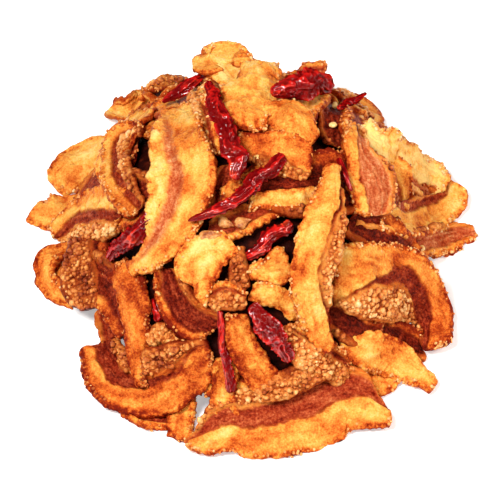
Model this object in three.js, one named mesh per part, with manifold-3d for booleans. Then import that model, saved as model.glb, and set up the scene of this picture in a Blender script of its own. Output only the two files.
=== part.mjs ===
// Garlic fried pork belly: a loose heap of thin belly strips, fried crisp and curled, with dried
// red chillies and three bits of fried garlic among them. Millimetres, +Z up; the origin is on the
// table under the middle of the heap, and -Y is the front, from which the heap is described.
import * as THREE from "three";
import { mergeVertices } from "three/addons/utils/BufferGeometryUtils.js";
import Module from "manifold-3d";

const wasm = await Module();
wasm.setup();

// The mound of strips that don't show: a rounded hill with a flat foot.
const CORE = { halfWidth: 84, halfDepth: 93, middle: 7, height: 66, squareness: 1.3, foot: 0.93 };
const CORE_MESH = { rings: 6, sectors: 20 };
// Places are given as seen from the front, at this angle above the table: across to the right, and
// up in the view, both from the middle of the heap. A line of sight is followed from in front of
// the heap, in steps; one that clears the mound stops behind it, sooner for a lifted piece.
const SIGHT = { angle: 55, from: 140, step: 0.25, stop: 88, soonerByLift: 0.6 };
const STRIP = { thickness: 4.2, rindShare: 0.8, leanShare: 0.5, stationsASpan: 1.5 };
const FACING_SHARE = 0.45; // how far a strip's face turns from the mound's slope towards the front
const FOOT_FADE = [0.8, 1.3]; // squared spreads over which a strip's face turns level at the foot
const CLEARANCE = 0.3; // between the heap and a chilli or garlic bit that lies in it
const MERGE_WITHIN = 1e-4; // points as close as this are one
const TABLE_CUT = 400; // a cube of this size, standing on the table, holds what is kept of the heap
const CHILLI = { sides: 7, stationsASpan: 3, flatness: 0.8 };
const GARLIC_FLATNESS = 0.45; // height to width
const SEED_SIZE = [4, 2.8, 1.6]; // length, width, height
const GARLIC_SEGMENTS = [8, 6];
const SEED_SEGMENTS = [6, 4];
// Strips round the foot at the back, each lying along the mound and crossing its neighbours.
const SKIRT = { count: 5, from: 38, step: 26, span: 36, share: 0.91, slant: 0.08, lift: 3, lap: 2.5 };
const SKIRT_WIDTHS = [14, 24, 27, 18];
const SKIRT_CURLS = [-18, 12]; // of the even strips and of the odd ones, which lie over them

const radians = THREE.MathUtils.degToRad;
const sightSin = Math.sin(radians(SIGHT.angle));
const sightCos = Math.cos(radians(SIGHT.angle));
const towardsFront = new THREE.Vector3(0, -sightCos, sightSin);

// Each strip: name, which long edge is the rind (1 the left, -1 the right, going from its first
// point to its last), how far its edges curl up in degrees, and its middle line, seen from the
// front, as [across, up, lift above the mound, roll in degrees, width].
const STRIPS = [
  ["L8", -1, 30, [
    [-50, 79, 3, 0, 5.5], [-42, 81.5, 4, 0, 9], [-33.5, 82, 4, 0, 11], [-27.5, 81.5, 3, 0, 10],
  ]],
  ["L7", -1, 80, [
    [-65, 72.5, 5, 25, 10], [-57, 70.5, 7, 25, 16], [-50, 71.5, 7, 25, 18], [-44.5, 72.5, 5, 25, 13],
  ]],
  ["L9", 1, 0, [
    [-34.5, 75.5, 3, 0, 7], [-40.5, 71.5, 3, 0, 10], [-45, 65.5, 3, 0, 11], [-47, 57, 2, 0, 8],
  ]],
  ["L5", -1, -30, [
    [-89.5, 35.5, 3, 0, 8], [-84, 42, 5, 0, 20], [-75, 47.5, 6, 0, 26], [-64.5, 53, 5, 0, 23.5],
  ]],
  ["L6", -1, 20, [
    [-49.5, 62.5, 9, 0, 7], [-59, 58, 10, 0, 13.5], [-61.5, 48, 10, 0, 14.5],
    [-59, 36.5, 10, 0, 15.5], [-51.5, 24.5, 9, 0, 11.5],
  ]],
  ["L4a", 1, -20, [
    [-100, 25, 1, 0, 10], [-91.5, 24.5, 3, 0, 15.5], [-81.5, 25, 3, 0, 16], [-71, 25, 2, 0, 15.5],
  ]],
  ["L4b", 1, -20, [
    [-89.5, 13.5, 3, 0, 8], [-81.5, 19.5, 6, 0, 21.5], [-69.5, 24.5, 8, 0, 24.5],
    [-58, 25, 6, 0, 19],
  ]],
  ["L2", 1, 0, [
    [-73.5, 14, 6, 0, 18], [-75, 3, 7, 0, 23.5], [-74, -8, 7, 0, 24.5], [-69.5, -18.5, 5, 0, 15.5],
  ]],
  ["L10", 1, 0, [[-68, -18.5, 1, 0, 11.5], [-65, -26.5, 1, 0, 11], [-63.5, -36.5, 1, 0, 11.5]]],
  ["L3", 1, 30, [
    [-84, 7, 5, 30, 8], [-92, 4.5, 5, 30, 11], [-93, -3.5, 3, 30, 10], [-88.5, -11, 2, 30, 10],
    [-79.5, -15.5, 1, 30, 9],
  ]],
  ["L3b", 1, 0, [
    [-87.5, 5, 1, 0, 8], [-88.5, -2, 1, 0, 10], [-86, -8.5, 1, 0, 10], [-81.5, -13, 1, 0, 9],
  ]],
  ["C1", 1, 10, [
    [-33.5, 72.5, 9, 0, 16], [-34, 57, 11, 0, 24.5], [-32, 39, 13, 0, 30], [-37.5, 17, 13, 0, 22.5],
    [-47, 4, 12, 0, 11], [-56.5, -1.5, 11, 0, 6.5],
  ]],
  ["C2", 1, 0, [
    [-24, 79, 6, 0, 9], [-21, 70.5, 6, 0, 11.5], [-19, 61.5, 6, 0, 11], [-16.5, 52.5, 5, 0, 7],
  ]],
  ["C18", 1, 0, [[-11, 45.5, 3, 0, 9], [-13.5, 35.5, 3, 0, 11.5], [-14, 25.5, 3, 0, 11]]],
  ["C19", 1, 0, [[-14, 31, 4, 0, 6.5], [-3.5, 37.5, 5, 0, 8], [7, 44.5, 5, 0, 6.5]]],
  ["V1", 1, -30, [
    [-61.5, 0.5, 10, 0, 12.5], [-54.5, -14, 11, 0, 16], [-52.5, -28.5, 11, 0, 13.5],
    [-51.5, -42, 11, 0, 9], [-50, -54.5, 10, 0, 4],
  ]],
  ["L1", -1, 20, [
    [-69.5, -35, 5, 0, 15.5], [-63.5, -47.5, 6, 0, 26], [-49.5, -54, 6, 0, 28],
    [-33, -46, 6, 0, 27.5], [-18, -38, 6, 0, 12.5],
  ]],
  ["L1b", -1, 0, [[-46.5, -33, 4, 0, 7], [-40, -30, 5, 0, 9], [-31, -33.5, 4, 0, 8]]],
  ["B2", -1, 0, [
    [-59, -63, 1, 0, 6.5], [-48.5, -67, 1, 0, 11.5], [-38, -68, 1, 0, 11.5],
    [-28.5, -64.5, 1, 0, 9],
  ]],
  ["B3", 1, 0, [[-32, -56, 2, 0, 11], [-32.5, -68, 2, 0, 12], [-33.5, -78, 1, 0, 12]]],
  ["T2", 1, 0, [[-9.5, 93, 11, 0, 9], [-4.5, 95, 12, 0, 11], [0.5, 93, 10, 0, 8]]],
  ["T1", 1, 0, [
    [-26.5, 92, 9, 0, 9], [-20.5, 94.5, 12, 0, 16], [-14, 93.5, 12, 0, 20], [-6, 86, 9, 0, 18],
  ]],
  ["T3", 1, -20, [
    [5.5, 93.5, 9, 0, 11.5], [0.5, 83.5, 11, 0, 23.5], [-2, 71.5, 12, 0, 20.5],
    [-1.5, 62, 10, 0, 11],
  ]],
  ["T4", 1, 0, [[15, 84, 1, 0, 9], [24, 87.5, 2, 0, 11.5], [33.5, 88, 2, 0, 11]]],
  ["T5b", 1, -15, [
    [-6, 54, 4, 0, 10], [5, 52.5, 6, 0, 18], [16, 50, 7, 0, 21], [26.5, 47, 6.5, 0, 16],
  ]],
  ["T5a", 1, -60, [
    [2, 70.5, 8, 0, 10], [11, 70, 11, 0, 16], [20.5, 65, 12, 0, 18], [27, 55.5, 9.5, 0, 15],
  ]],
  ["T5c", 1, 0, [[-0.5, 38.5, 1, 0, 10], [14, 37.5, 1, 0, 11], [29.5, 40, 1, 0, 10]]],
  ["T6", 1, 20, [
    [34.5, 78, 4, 0, 11.5], [36, 70, 4, 0, 14.5], [37, 61.5, 3, 0, 15.5], [37.5, 53.5, 3, 0, 11.5],
  ]],
  ["T7", 1, -20, [
    [35.5, 76, 4, 0, 11], [44, 74.5, 5, 0, 14.5], [51, 69.5, 5, 0, 15.5], [55, 59, 4, 0, 14.5],
  ]],
  ["T8", 1, 15, [
    [47.5, 62, 7, 0, 12.5], [56, 53.5, 9, 0, 22.5], [66.5, 46.5, 9, 0, 23.5], [78.5, 40, 8, 0, 21],
    [87, 34.5, 6, 0, 11],
  ]],
  ["T9", -1, -30, [
    [44.5, 65.5, 11, 0, 7], [47.5, 52.5, 13, 0, 13.5], [53.5, 39, 13, 0, 24.5], [55, 23, 11, 0, 17],
  ]],
  ["T10", 1, 25, [
    [92.5, 36.5, 3, 0, 8], [89.5, 29, 4, 0, 13.5], [79.5, 24, 4, 0, 18], [67, 21.5, 5, 0, 18],
    [56.5, 23, 4, 0, 15.5],
  ]],
  ["T11", 1, 10, [
    [100.5, 14.5, 1, 0, 7], [91, 14, 1, 0, 13.5], [77.5, 11.5, 2, 0, 12.5], [61.5, 12, 3, 0, 12.5],
    [44.5, 14, 3, 0, 12.5],
  ]],
  ["C5", -1, -20, [
    [-2, 29, 5, 0, 6.5], [8.5, 30, 5, 0, 8.5], [20.5, 31, 5, 0, 8.5], [30, 33, 5, 0, 8],
  ]],
  ["C6", -1, 0, [
    [-20, 16, 3, 0, 10], [-9.5, 18.5, 3, 0, 12.5], [4, 24.5, 3, 0, 9], [21, 30, 2, 0, 7],
  ]],
  ["C3", -1, 0, [
    [-9.5, 11.5, 7, 0, 10], [-18.5, 7, 9, 0, 17], [-25.5, -0.5, 10, 0, 19], [-28.5, -8, 9, 0, 10],
  ]],
  ["C3b", 1, 0, [[-21, -4, 7, 0, 8], [-22.5, -11, 8, 0, 6.5], [-21, -17, 8, 0, 3.5]]],
  ["C8", 1, 10, [
    [-3, -2.5, 5, 0, 4.5], [4, -1.5, 5, 0, 9], [10.5, 0, 6, 0, 14.5], [16.5, 2.5, 5, 0, 15.5],
  ]],
  ["C9", 1, -20, [[-2, -12, 5, 0, 6], [6, -12, 7, 0, 8.5], [14, -16, 7, 0, 9.5], [22, -22, 5, 0, 8]]],
  ["C10", 1, 0, [[-7.5, 8.5, 5, 0, 4], [-6.5, -0.5, 6, 0, 7], [-4.5, -11, 6, 0, 7]]],
  ["C11", -1, 0, [[-3, -14, 7, 0, 6.5], [-11, -13, 8, 0, 11.5], [-20, -14, 7, 0, 9]]],
  ["C12", -1, 20, [
    [-39, -0.5, 4, 0, 9], [-35, -13, 5, 0, 16], [-28.5, -23, 5, 0, 19], [-16.5, -27.5, 4, 0, 12.5],
  ]],
  ["M2", -1, -50, [
    [36, 46.5, 14, 0, 7], [35, 31, 17, 0, 16], [29.5, 10, 18, 0, 21], [26, -8, 18, 0, 18],
    [28.5, -23, 17, 0, 15], [34, -37.5, 14, 0, 8],
  ]],
  ["M1", 1, -20, [
    [36.5, -4, 9, 0, 24.5], [52, -6, 10, 0, 34], [70, -9, 10, 0, 34], [80.5, -21.5, 8, 0, 20.5],
    [82, -37.5, 5, 0, 11],
  ]],
  ["C14", -1, -10, [
    [-7, -20.5, 7, 0, 8], [-5.5, -32, 9, 0, 12.5], [-0.5, -42.5, 10, 0, 13.5],
    [7, -53, 9, 0, 13], [11, -57, 7, 0, 7],
  ]],
  ["C15", 1, 0, [
    [15, -26.5, 6, 0, 7], [22, -35, 7, 0, 16], [31, -41, 7, 0, 17], [43, -46.5, 5, 0, 13.5],
  ]],
  ["C16", 1, 0, [[34, -20, 3, 0, 11], [44.5, -26.5, 3, 0, 16], [55.5, -31, 3, 0, 15.5]]],
  ["C17", 1, 0, [[53.5, -27.5, 3, 0, 11], [65.5, -32, 3, 0, 14.5], [77, -36.5, 2, 0, 11]]],
  ["M3", -1, -20, [
    [40, -37, 6, 0, 7], [52, -37.5, 7, 0, 17], [65.5, -42.5, 6, 0, 16], [81.5, -54.5, 3, 0, 4.5],
  ]],
  ["M4", -1, 0, [
    [41, -42, 1, 0, 11.5], [50, -49.5, 2, 0, 16], [59, -52.5, 2, 0, 11.5], [65.5, -51.5, 2, 0, 4.5],
  ]],
  ["B4", -1, 0, [[-22, -53.5, 3, 0, 8], [-13, -53, 3, 0, 11.5], [-3, -57, 3, 0, 9]]],
  ["B5", 1, 15, [
    [-8, -38, 4, 0, 8], [-12, -48, 6, 0, 11], [-13, -60, 7, 0, 10], [-9, -69, 7, 0, 8],
  ]],
  ["B6", 1, 0, [[3, -55, 7, 0, 7], [13, -53, 9, 0, 11], [24, -48, 9, 0, 12], [34, -44, 8, 0, 8]]],
  ["B1", -1, -15, [
    [-29.5, -80, 3, 0, 4], [-21.5, -77.5, 5, 0, 15], [-11, -71, 8, 0, 26], [4, -69, 10, 0, 33],
    [21, -64, 10, 0, 38], [41.5, -60.5, 9, 0, 33], [53.5, -64.5, 6, 0, 17],
    [62.5, -68.5, 4, 0, 5.5],
  ]],
];

// Strips at the back, the sides and underneath, the same but in plan: [x, y, lift, roll, width].
const BACK_STRIPS = [
  ["F1", 1, 0, [[44, -14, 5.5, 0, 16], [60, -13, 4.5, 0, 22], [74, -12, 3, 0, 16]]],
  ["F3", 1, 10, [[50, 46, 5, 0, 20], [60, 26, 5, 0, 28], [68, 8, 3, 0, 18]]],
  ["F4", 1, 0, [[-52, 34, 4, 0, 20], [-68, 31, 5, 0, 28], [-82, 27, 3, 0, 20]]],
  ["F5", -1, 10, [
    [-80, -8, 2, 0, 14], [-72, -18, 3, 0, 22], [-62, -32, 3, 0, 22], [-54, -48, 3, 0, 18],
  ]],
  ["F6", -1, 10, [[-46, 62, 5, 0, 18], [-58, 44, 6, 0, 28], [-64, 26, 5, 0, 22]]],
  ["K1", 1, 10, [[-22, 34, 4, 0, 18], [-28, 50, 4, 0, 30], [-32, 66, 3, 0, 30], [-33, 80, 2, 0, 18]]],
  ["K3", -1, 15, [[12, 28, 2, 0, 18], [17, 46, 2, 0, 28], [18, 64, 3, 0, 30], [18, 84, 3, 0, 20]]],
  ["K4", 1, 0, [[46, 32, 3, 0, 20], [52, 50, 4, 0, 30], [50, 66, 4, 0, 24]]],
  ["K5", 1, 0, [[0, -6, 3, 0, 20], [20, -2, 3, 0, 32], [38, 4, 3, 0, 32], [52, 12, 3, 0, 20]]],
  ["K6", 1, 0, [[-8, 12, 3, 0, 20], [-3, 34, 3.5, 0, 32], [2, 56, 4, 0, 34], [0, 78, 4, 0, 24]]],
];

// Dried chillies, each along its length: [across, up, lift, radius].
const CHILLIES = [
  [[-41, 74.5, 10, 1.4], [-33.5, 79, 11, 3.2], [-27.5, 83, 12, 3.6], [-23, 87, 11, 1.8]],
  [
    [-20.5, 83, 14, 2], [-17, 74.5, 16, 4.3], [-11.5, 61.5, 17, 5.2],
    [-7.5, 48, 17, 5.4], [-7.5, 39, 16, 2.2],
  ],
  [[8, 78, 13, 2.3], [15.5, 81, 16, 6.3], [25, 82.5, 17, 7.7], [32.5, 84, 15, 5], [35.5, 85, 14, 1.4]],
  [[39, 71.5, 9, 1.4], [44.5, 74.5, 10, 2.3], [51.5, 79, 10, 0.7]],
  [[-29, 20.5, 16, 0.7], [-21.5, 24, 17, 2.3], [-8, 30, 14, 3.6], [2, 39, 12, 4.5], [13.5, 50, 9, 3.2]],
  [[-65, 4, 12, 2.3], [-57.5, 11, 16, 5], [-49.5, 18.5, 18, 5], [-42, 28.5, 17, 0.9]],
  [[-3.5, 4, 5, 1.8], [1.5, 7.5, 5, 3.6], [8.5, 13, 5, 4.5], [17.5, 19.5, 5, 3.2]],
  [[0, -16, 12, 3.6], [6, -25, 15, 5.9], [12.5, -36, 15, 5], [16, -42.5, 13, 2.3]],
  [[-15.5, -19.5, 11, 1.4], [-13.5, -33, 12, 2.3], [-12, -44.5, 12, 2.3], [-9.5, -56, 10, 2.7]],
  [[-44.5, -14, 3, 2.3], [-42.5, -24.5, 3, 2.3]],
  [[38.5, 49, 9, 1.4], [41, 42, 10, 1.8], [44.5, 34, 10, 0.9]],
];

// Fried garlic: [across, up, lift, length, width, heading in degrees].
const GARLIC = [
  [-12, 19.5, 6, 7.5, 6, -20],
  [-4.5, 20, 6, 7.5, 6, 20],
  [-18.5, 14, 10, 11.5, 5.5, 0],
];

// Loose chilli seeds: [across, up, lift, heading in degrees].
const SEEDS = [
  [37, 73, 6, 70],
  [36, 64, 5.5, 20],
  [2, 49, 5.2, 0],
  [76, 8.5, 3.5, 10],
];

// How far a place is from the mound's middle, squared, in shares of the mound's half size.
function spread(x, y) {
  return (x / CORE.halfWidth) ** 2 + ((y - CORE.middle) / CORE.halfDepth) ** 2;
}

// Height of the mound above the table.
function moundHeight(x, y) {
  return CORE.height * Math.max(0, 1 - spread(x, y) ** CORE.squareness);
}

// Outward direction of the mound's surface, which turns level past its foot.
function moundNormal(x, y) {
  const q = spread(x, y);
  const fade = 1 - THREE.MathUtils.smoothstep(q, ...FOOT_FADE);
  const steepness = 2 * CORE.height * CORE.squareness * q ** (CORE.squareness - 1) * fade;
  const acrossPart = (steepness * x) / CORE.halfWidth ** 2;
  const depthPart = (steepness * (y - CORE.middle)) / CORE.halfDepth ** 2;
  return new THREE.Vector3(acrossPart, depthPart, 1).normalize();
}

// The point at `lift` above the mound that is seen at (across, up) from the front. A line of sight
// that clears the mound stops where it passes nearest to it.
function seenAt(across, up, lift) {
  const heightAt = (y) => (up - y * sightSin) / sightCos;
  const clearance = (y) => heightAt(y) - moundHeight(across, y) - lift;
  const stop = SIGHT.stop - SIGHT.soonerByLift * lift;
  let best = -SIGHT.from;
  for (let y = best; y <= stop; y += SIGHT.step) {
    if (clearance(y) < clearance(best)) best = y;
    if (clearance(y) <= 0) break;
  }
  return new THREE.Vector3(across, best, Math.max(heightAt(best), lift));
}

function inPlan(x, y, lift) {
  return new THREE.Vector3(x, y, moundHeight(x, y) + lift);
}

// A strip of the skirt, as a row of the table above. Odd ones lie over the even ones.
function skirtStrip(i) {
  const odd = i % 2;
  const rind = odd ? 1 : -1;
  const middle = SKIRT_WIDTHS.map((width, k) => {
    const along = k / (SKIRT_WIDTHS.length - 1) - 0.5;
    const turn = radians(SKIRT.from + SKIRT.step * i + SKIRT.span * along);
    const share = SKIRT.share + rind * SKIRT.slant * along;
    const x = share * CORE.halfWidth * Math.cos(turn);
    const y = CORE.middle + share * CORE.halfDepth * Math.sin(turn);
    return [x, y, SKIRT.lift + odd * SKIRT.lap, 0, width];
  });
  return [`S${i}`, rind, SKIRT_CURLS[odd], middle];
}

// A smooth curve through rows of numbers, t from 0 to 1, with its ends extended straight on.
function through(rows, t) {
  const spans = rows.length - 1;
  const i = Math.min(Math.floor(t * spans), spans - 1);
  const f = t * spans - i;
  const at = (k) => {
    if (k < 0) return rows[0].map((v, c) => 2 * v - rows[1][c]);
    if (k > spans) return rows[spans].map((v, c) => 2 * v - rows[spans - 1][c]);
    return rows[k];
  };
  const [before, from, to, after] = [at(i - 1), at(i), at(i + 1), at(i + 2)];
  return from.map((b, c) => {
    const [a, d, e] = [before[c], to[c], after[c]];
    const bend = 2 * a - 5 * b + 4 * d - e + f * (3 * (b - d) + e - a);
    return b + 0.5 * f * (d - a + f * bend);
  });
}

// The frame of a piece at t: its place, its direction, its face's normal and the way to its left.
function frameAt(rows, t, facingShare) {
  const step = 0.01; // to either side of t, for the direction
  const place = new THREE.Vector3(...through(rows, t));
  const along = new THREE.Vector3(...through(rows, Math.min(t + step, 1)));
  along.sub(new THREE.Vector3(...through(rows, Math.max(t - step, 0)))).normalize();
  const facing = moundNormal(place.x, place.y).lerp(towardsFront, facingShare);
  facing.addScaledVector(along, -facing.dot(along)).normalize();
  return { place, along, facing, left: new THREE.Vector3().crossVectors(facing, along) };
}

// A closed surface over rings of points: each ring is joined to the next, and the ends are capped.
function closedOver(rings) {
  const sides = rings[0].length;
  const faces = [];
  for (let i = 0; i + 1 < rings.length; i++)
    for (let k = 0; k < sides; k++) {
      const [a, b] = [i * sides + k, i * sides + ((k + 1) % sides)];
      faces.push(a, b, a + sides, b, b + sides, a + sides);
    }
  const last = (rings.length - 1) * sides;
  for (let k = 1; k + 1 < sides; k++) faces.push(0, k + 1, k, last, last + k, last + k + 1);
  const geometry = new THREE.BufferGeometry().setFromPoints(rings.flat());
  geometry.setIndex(faces);
  return geometry;
}

// How far a strip turns about its length so that its lower edge lies on the table, not under it,
// from the heights of its middle line, its face's normal and the way to its left.
function leanBack(height, facingUp, leftUp, width) {
  const lean = Math.atan2(leftUp, facingUp);
  const room = Math.max(height - STRIP.thickness / 2, 0) / (width / 2);
  const most = Math.asin(Math.min(room / Math.hypot(leftUp, facingUp), 1));
  return THREE.MathUtils.clamp(lean, -most, most) - lean;
}

// A strip as a closed solid: each cross-section is a bent bar, thinner at its two edges.
function stripGeometry(middle, rind, curl, toPoint, facingShare) {
  const rows = middle.map(([a, b, lift, roll, width]) => [...toPoint(a, b, lift), roll, width]);
  const stations = Math.ceil((rows.length - 1) * STRIP.stationsASpan);
  const bend = radians(curl);
  const rings = [];
  for (let i = 0; i <= stations; i++) {
    const { place, along, facing, left } = frameAt(rows, i / stations, facingShare);
    const [roll, width] = through(rows, i / stations).slice(3);
    const turn = radians(roll) + leanBack(place.z, facing.z, left.z, width);
    left.applyAxisAngle(along, turn);
    facing.applyAxisAngle(along, turn);
    const at = (side, face) => {
      const turn = bend * side;
      const reach = (width / 2) * (bend ? Math.sin(turn) / bend : side);
      const rise = (width / 2) * (bend ? (1 - Math.cos(turn)) / bend : 0);
      const share = side === rind ? STRIP.rindShare : side ? STRIP.leanShare : 1;
      const half = (face * STRIP.thickness * share) / 2;
      const point = place.clone().addScaledVector(left, reach - half * Math.sin(turn));
      return point.addScaledVector(facing, rise + half * Math.cos(turn));
    };
    rings.push([at(1, 1), at(0, 1), at(-1, 1), at(-1, -1), at(0, -1), at(1, -1)]);
  }
  return closedOver(rings);
}

// A chilli, `grow` larger all round: a slightly flat tube of changing radius, closed at its ends.
function chilliGeometry(middle, grow) {
  const rows = middle.map(([across, up, lift, radius]) => [...seenAt(across, up, lift), radius]);
  const stations = (rows.length - 1) * CHILLI.stationsASpan;
  const rings = [];
  for (let i = 0; i <= stations; i++) {
    const { place, along, facing, left } = frameAt(rows, i / stations, FACING_SHARE);
    const radius = through(rows, i / stations)[3];
    place.addScaledVector(along, i === 0 ? -grow : i === stations ? grow : 0);
    const ring = [];
    for (let k = 0; k < CHILLI.sides; k++) {
      const turn = (2 * Math.PI * k) / CHILLI.sides;
      const point = place.clone().addScaledVector(left, (radius + grow) * Math.cos(turn));
      ring.push(point.addScaledVector(facing, (CHILLI.flatness * radius + grow) * Math.sin(turn)));
    }
    rings.push(ring);
  }
  return closedOver(rings);
}

// A flattened drop lying on its face at a place seen from the front.
function dropGeometry([across, up, lift], heading, size, segments) {
  const geometry = new THREE.SphereGeometry(0.5, ...segments);
  geometry.scale(...size);
  geometry.rotateZ(radians(heading));
  const place = seenAt(across, up, lift);
  const facing = moundNormal(place.x, place.y).lerp(towardsFront, FACING_SHARE).normalize();
  const upright = new THREE.Vector3(0, 0, 1);
  geometry.applyQuaternion(new THREE.Quaternion().setFromUnitVectors(upright, facing));
  return geometry.translate(place.x, place.y, place.z);
}

// A bit of garlic, `grow` larger all round.
function garlicGeometry([across, up, lift, length, width, heading], grow) {
  const size = [length, width, GARLIC_FLATNESS * width].map((v) => v + 2 * grow);
  return dropGeometry([across, up, lift], heading, size, GARLIC_SEGMENTS);
}

// The mound: rings of points from its foot to its top, on a flat foot.
function coreGeometry() {
  const ringAt = (share, height) => {
    const ring = [];
    for (let k = 0; k < CORE_MESH.sectors; k++) {
      const turn = (2 * Math.PI * k) / CORE_MESH.sectors;
      const x = share * CORE.halfWidth * Math.cos(turn);
      const y = CORE.middle + share * CORE.halfDepth * Math.sin(turn);
      ring.push(new THREE.Vector3(x, y, height ?? moundHeight(x, y)));
    }
    return ring;
  };
  const rings = [ringAt(CORE.foot, 0)];
  for (let i = 0; i < CORE_MESH.rings; i++) rings.push(ringAt(CORE.foot * (1 - i / CORE_MESH.rings)));
  return closedOver(rings);
}

function solidOf(geometry) {
  const bare = geometry.clone();
  bare.deleteAttribute("normal");
  bare.deleteAttribute("uv");
  const merged = mergeVertices(bare, MERGE_WITHIN);
  return new wasm.Manifold(
    new wasm.Mesh({
      numProp: 3,
      vertProperties: new Float32Array(merged.attributes.position.array),
      triVerts: new Uint32Array(merged.index.array),
    }),
  );
}

function geometryOf(solid) {
  const { vertProperties, numProp, triVerts } = solid.getMesh();
  const places = [];
  for (let i = 0; i < vertProperties.length; i += numProp) places.push(...vertProperties.slice(i, i + 3));
  const geometry = new THREE.BufferGeometry();
  geometry.setAttribute("position", new THREE.Float32BufferAttribute(places, 3));
  geometry.setIndex(Array.from(triVerts));
  return geometry;
}

// The heap: the mound with every strip and seed joined on, cut off level at the table, with a
// close-fitting hollow where each chilli and garlic bit lies. What hangs loose of it is dropped.
const skirt = Array.from({ length: SKIRT.count }, (_, i) => skirtStrip(i));
const pieces = [
  ...STRIPS.map(([, rind, curl, middle]) => stripGeometry(middle, rind, curl, seenAt, FACING_SHARE)),
  ...[...BACK_STRIPS, ...skirt].map(([, rind, curl, middle]) =>
    stripGeometry(middle, rind, curl, inPlan, 0),
  ),
  ...SEEDS.map(([across, up, lift, heading]) =>
    dropGeometry([across, up, lift], heading, SEED_SIZE, SEED_SEGMENTS),
  ),
];
const aboveTable = new THREE.BoxGeometry(TABLE_CUT, TABLE_CUT, TABLE_CUT);
aboveTable.translate(0, 0, TABLE_CUT / 2);

let heap = pieces.reduce((sum, piece) => sum.add(solidOf(piece)), solidOf(coreGeometry()));
heap = heap.intersect(solidOf(aboveTable));
for (const middle of CHILLIES) heap = heap.subtract(solidOf(chilliGeometry(middle, CLEARANCE)));
for (const bit of GARLIC) heap = heap.subtract(solidOf(garlicGeometry(bit, CLEARANCE)));
heap = heap.decompose().reduce((most, body) => (body.volume() > most.volume() ? body : most));

const pork = { color: 0xd08a45, roughness: 0.6, metalness: 0 };
const chilli = { color: 0x9a1518, roughness: 0.25, metalness: 0 };
const garlic = { color: 0xd9b077, roughness: 0.6, metalness: 0 };

const group = new THREE.Group();
function addPiece(name, geometry, finish) {
  const mesh = new THREE.Mesh(geometry, new THREE.MeshStandardMaterial(finish));
  mesh.name = name;
  group.add(mesh);
}
addPiece("pork_heap", geometryOf(heap), pork);
CHILLIES.forEach((middle, i) => addPiece(`chilli_${i + 1}`, chilliGeometry(middle, 0), chilli));
GARLIC.forEach((bit, i) =>
  addPiece(`garlic_${i + 1}`, geometryOf(solidOf(garlicGeometry(bit, 0))), garlic),
);

export default group;
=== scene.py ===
import math

import bmesh
import bpy
import numpy as np
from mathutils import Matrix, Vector


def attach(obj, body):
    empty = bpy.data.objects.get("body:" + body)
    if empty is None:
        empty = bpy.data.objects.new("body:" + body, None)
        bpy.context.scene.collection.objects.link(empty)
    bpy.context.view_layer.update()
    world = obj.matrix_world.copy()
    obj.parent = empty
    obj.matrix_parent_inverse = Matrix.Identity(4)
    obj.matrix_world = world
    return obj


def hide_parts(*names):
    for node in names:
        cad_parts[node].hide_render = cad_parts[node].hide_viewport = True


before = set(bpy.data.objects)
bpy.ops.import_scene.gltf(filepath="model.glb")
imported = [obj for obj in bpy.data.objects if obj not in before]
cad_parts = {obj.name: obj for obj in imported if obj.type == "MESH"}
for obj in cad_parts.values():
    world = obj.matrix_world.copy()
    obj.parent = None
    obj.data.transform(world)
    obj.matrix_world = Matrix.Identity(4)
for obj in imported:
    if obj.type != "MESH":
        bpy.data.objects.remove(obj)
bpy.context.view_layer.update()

MM, TINY = 0.001, 1e-9

# The mound of slices that don't show, as in the CAD model. Its slope fades out past its foot.
HALF_WIDTH, HALF_DEPTH, MIDDLE, HEIGHT, SQUARENESS = 84, 93, 7, 66, 1.3
FOOT_FADE = 0.8, 1.3

# Places are given as seen from the front at this angle above the table, the camera's own. A line of
# sight is followed from the front up to a stop behind the middle, sooner for what lies higher.
SIGHT_ANGLE = math.radians(55)
SIGHT_FROM, SIGHT_STEP, SIGHT_STOP, SOONER_BY_LIFT = 140, 0.25, 88, 0.6
FACING_SHARE = 0.45  # how far what shows turns from the mound's own slope towards the front
sight_sin, sight_cos = math.sin(SIGHT_ANGLE), math.cos(SIGHT_ANGLE)
TOWARDS_FRONT = np.array([0, -sight_cos, sight_sin])

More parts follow.
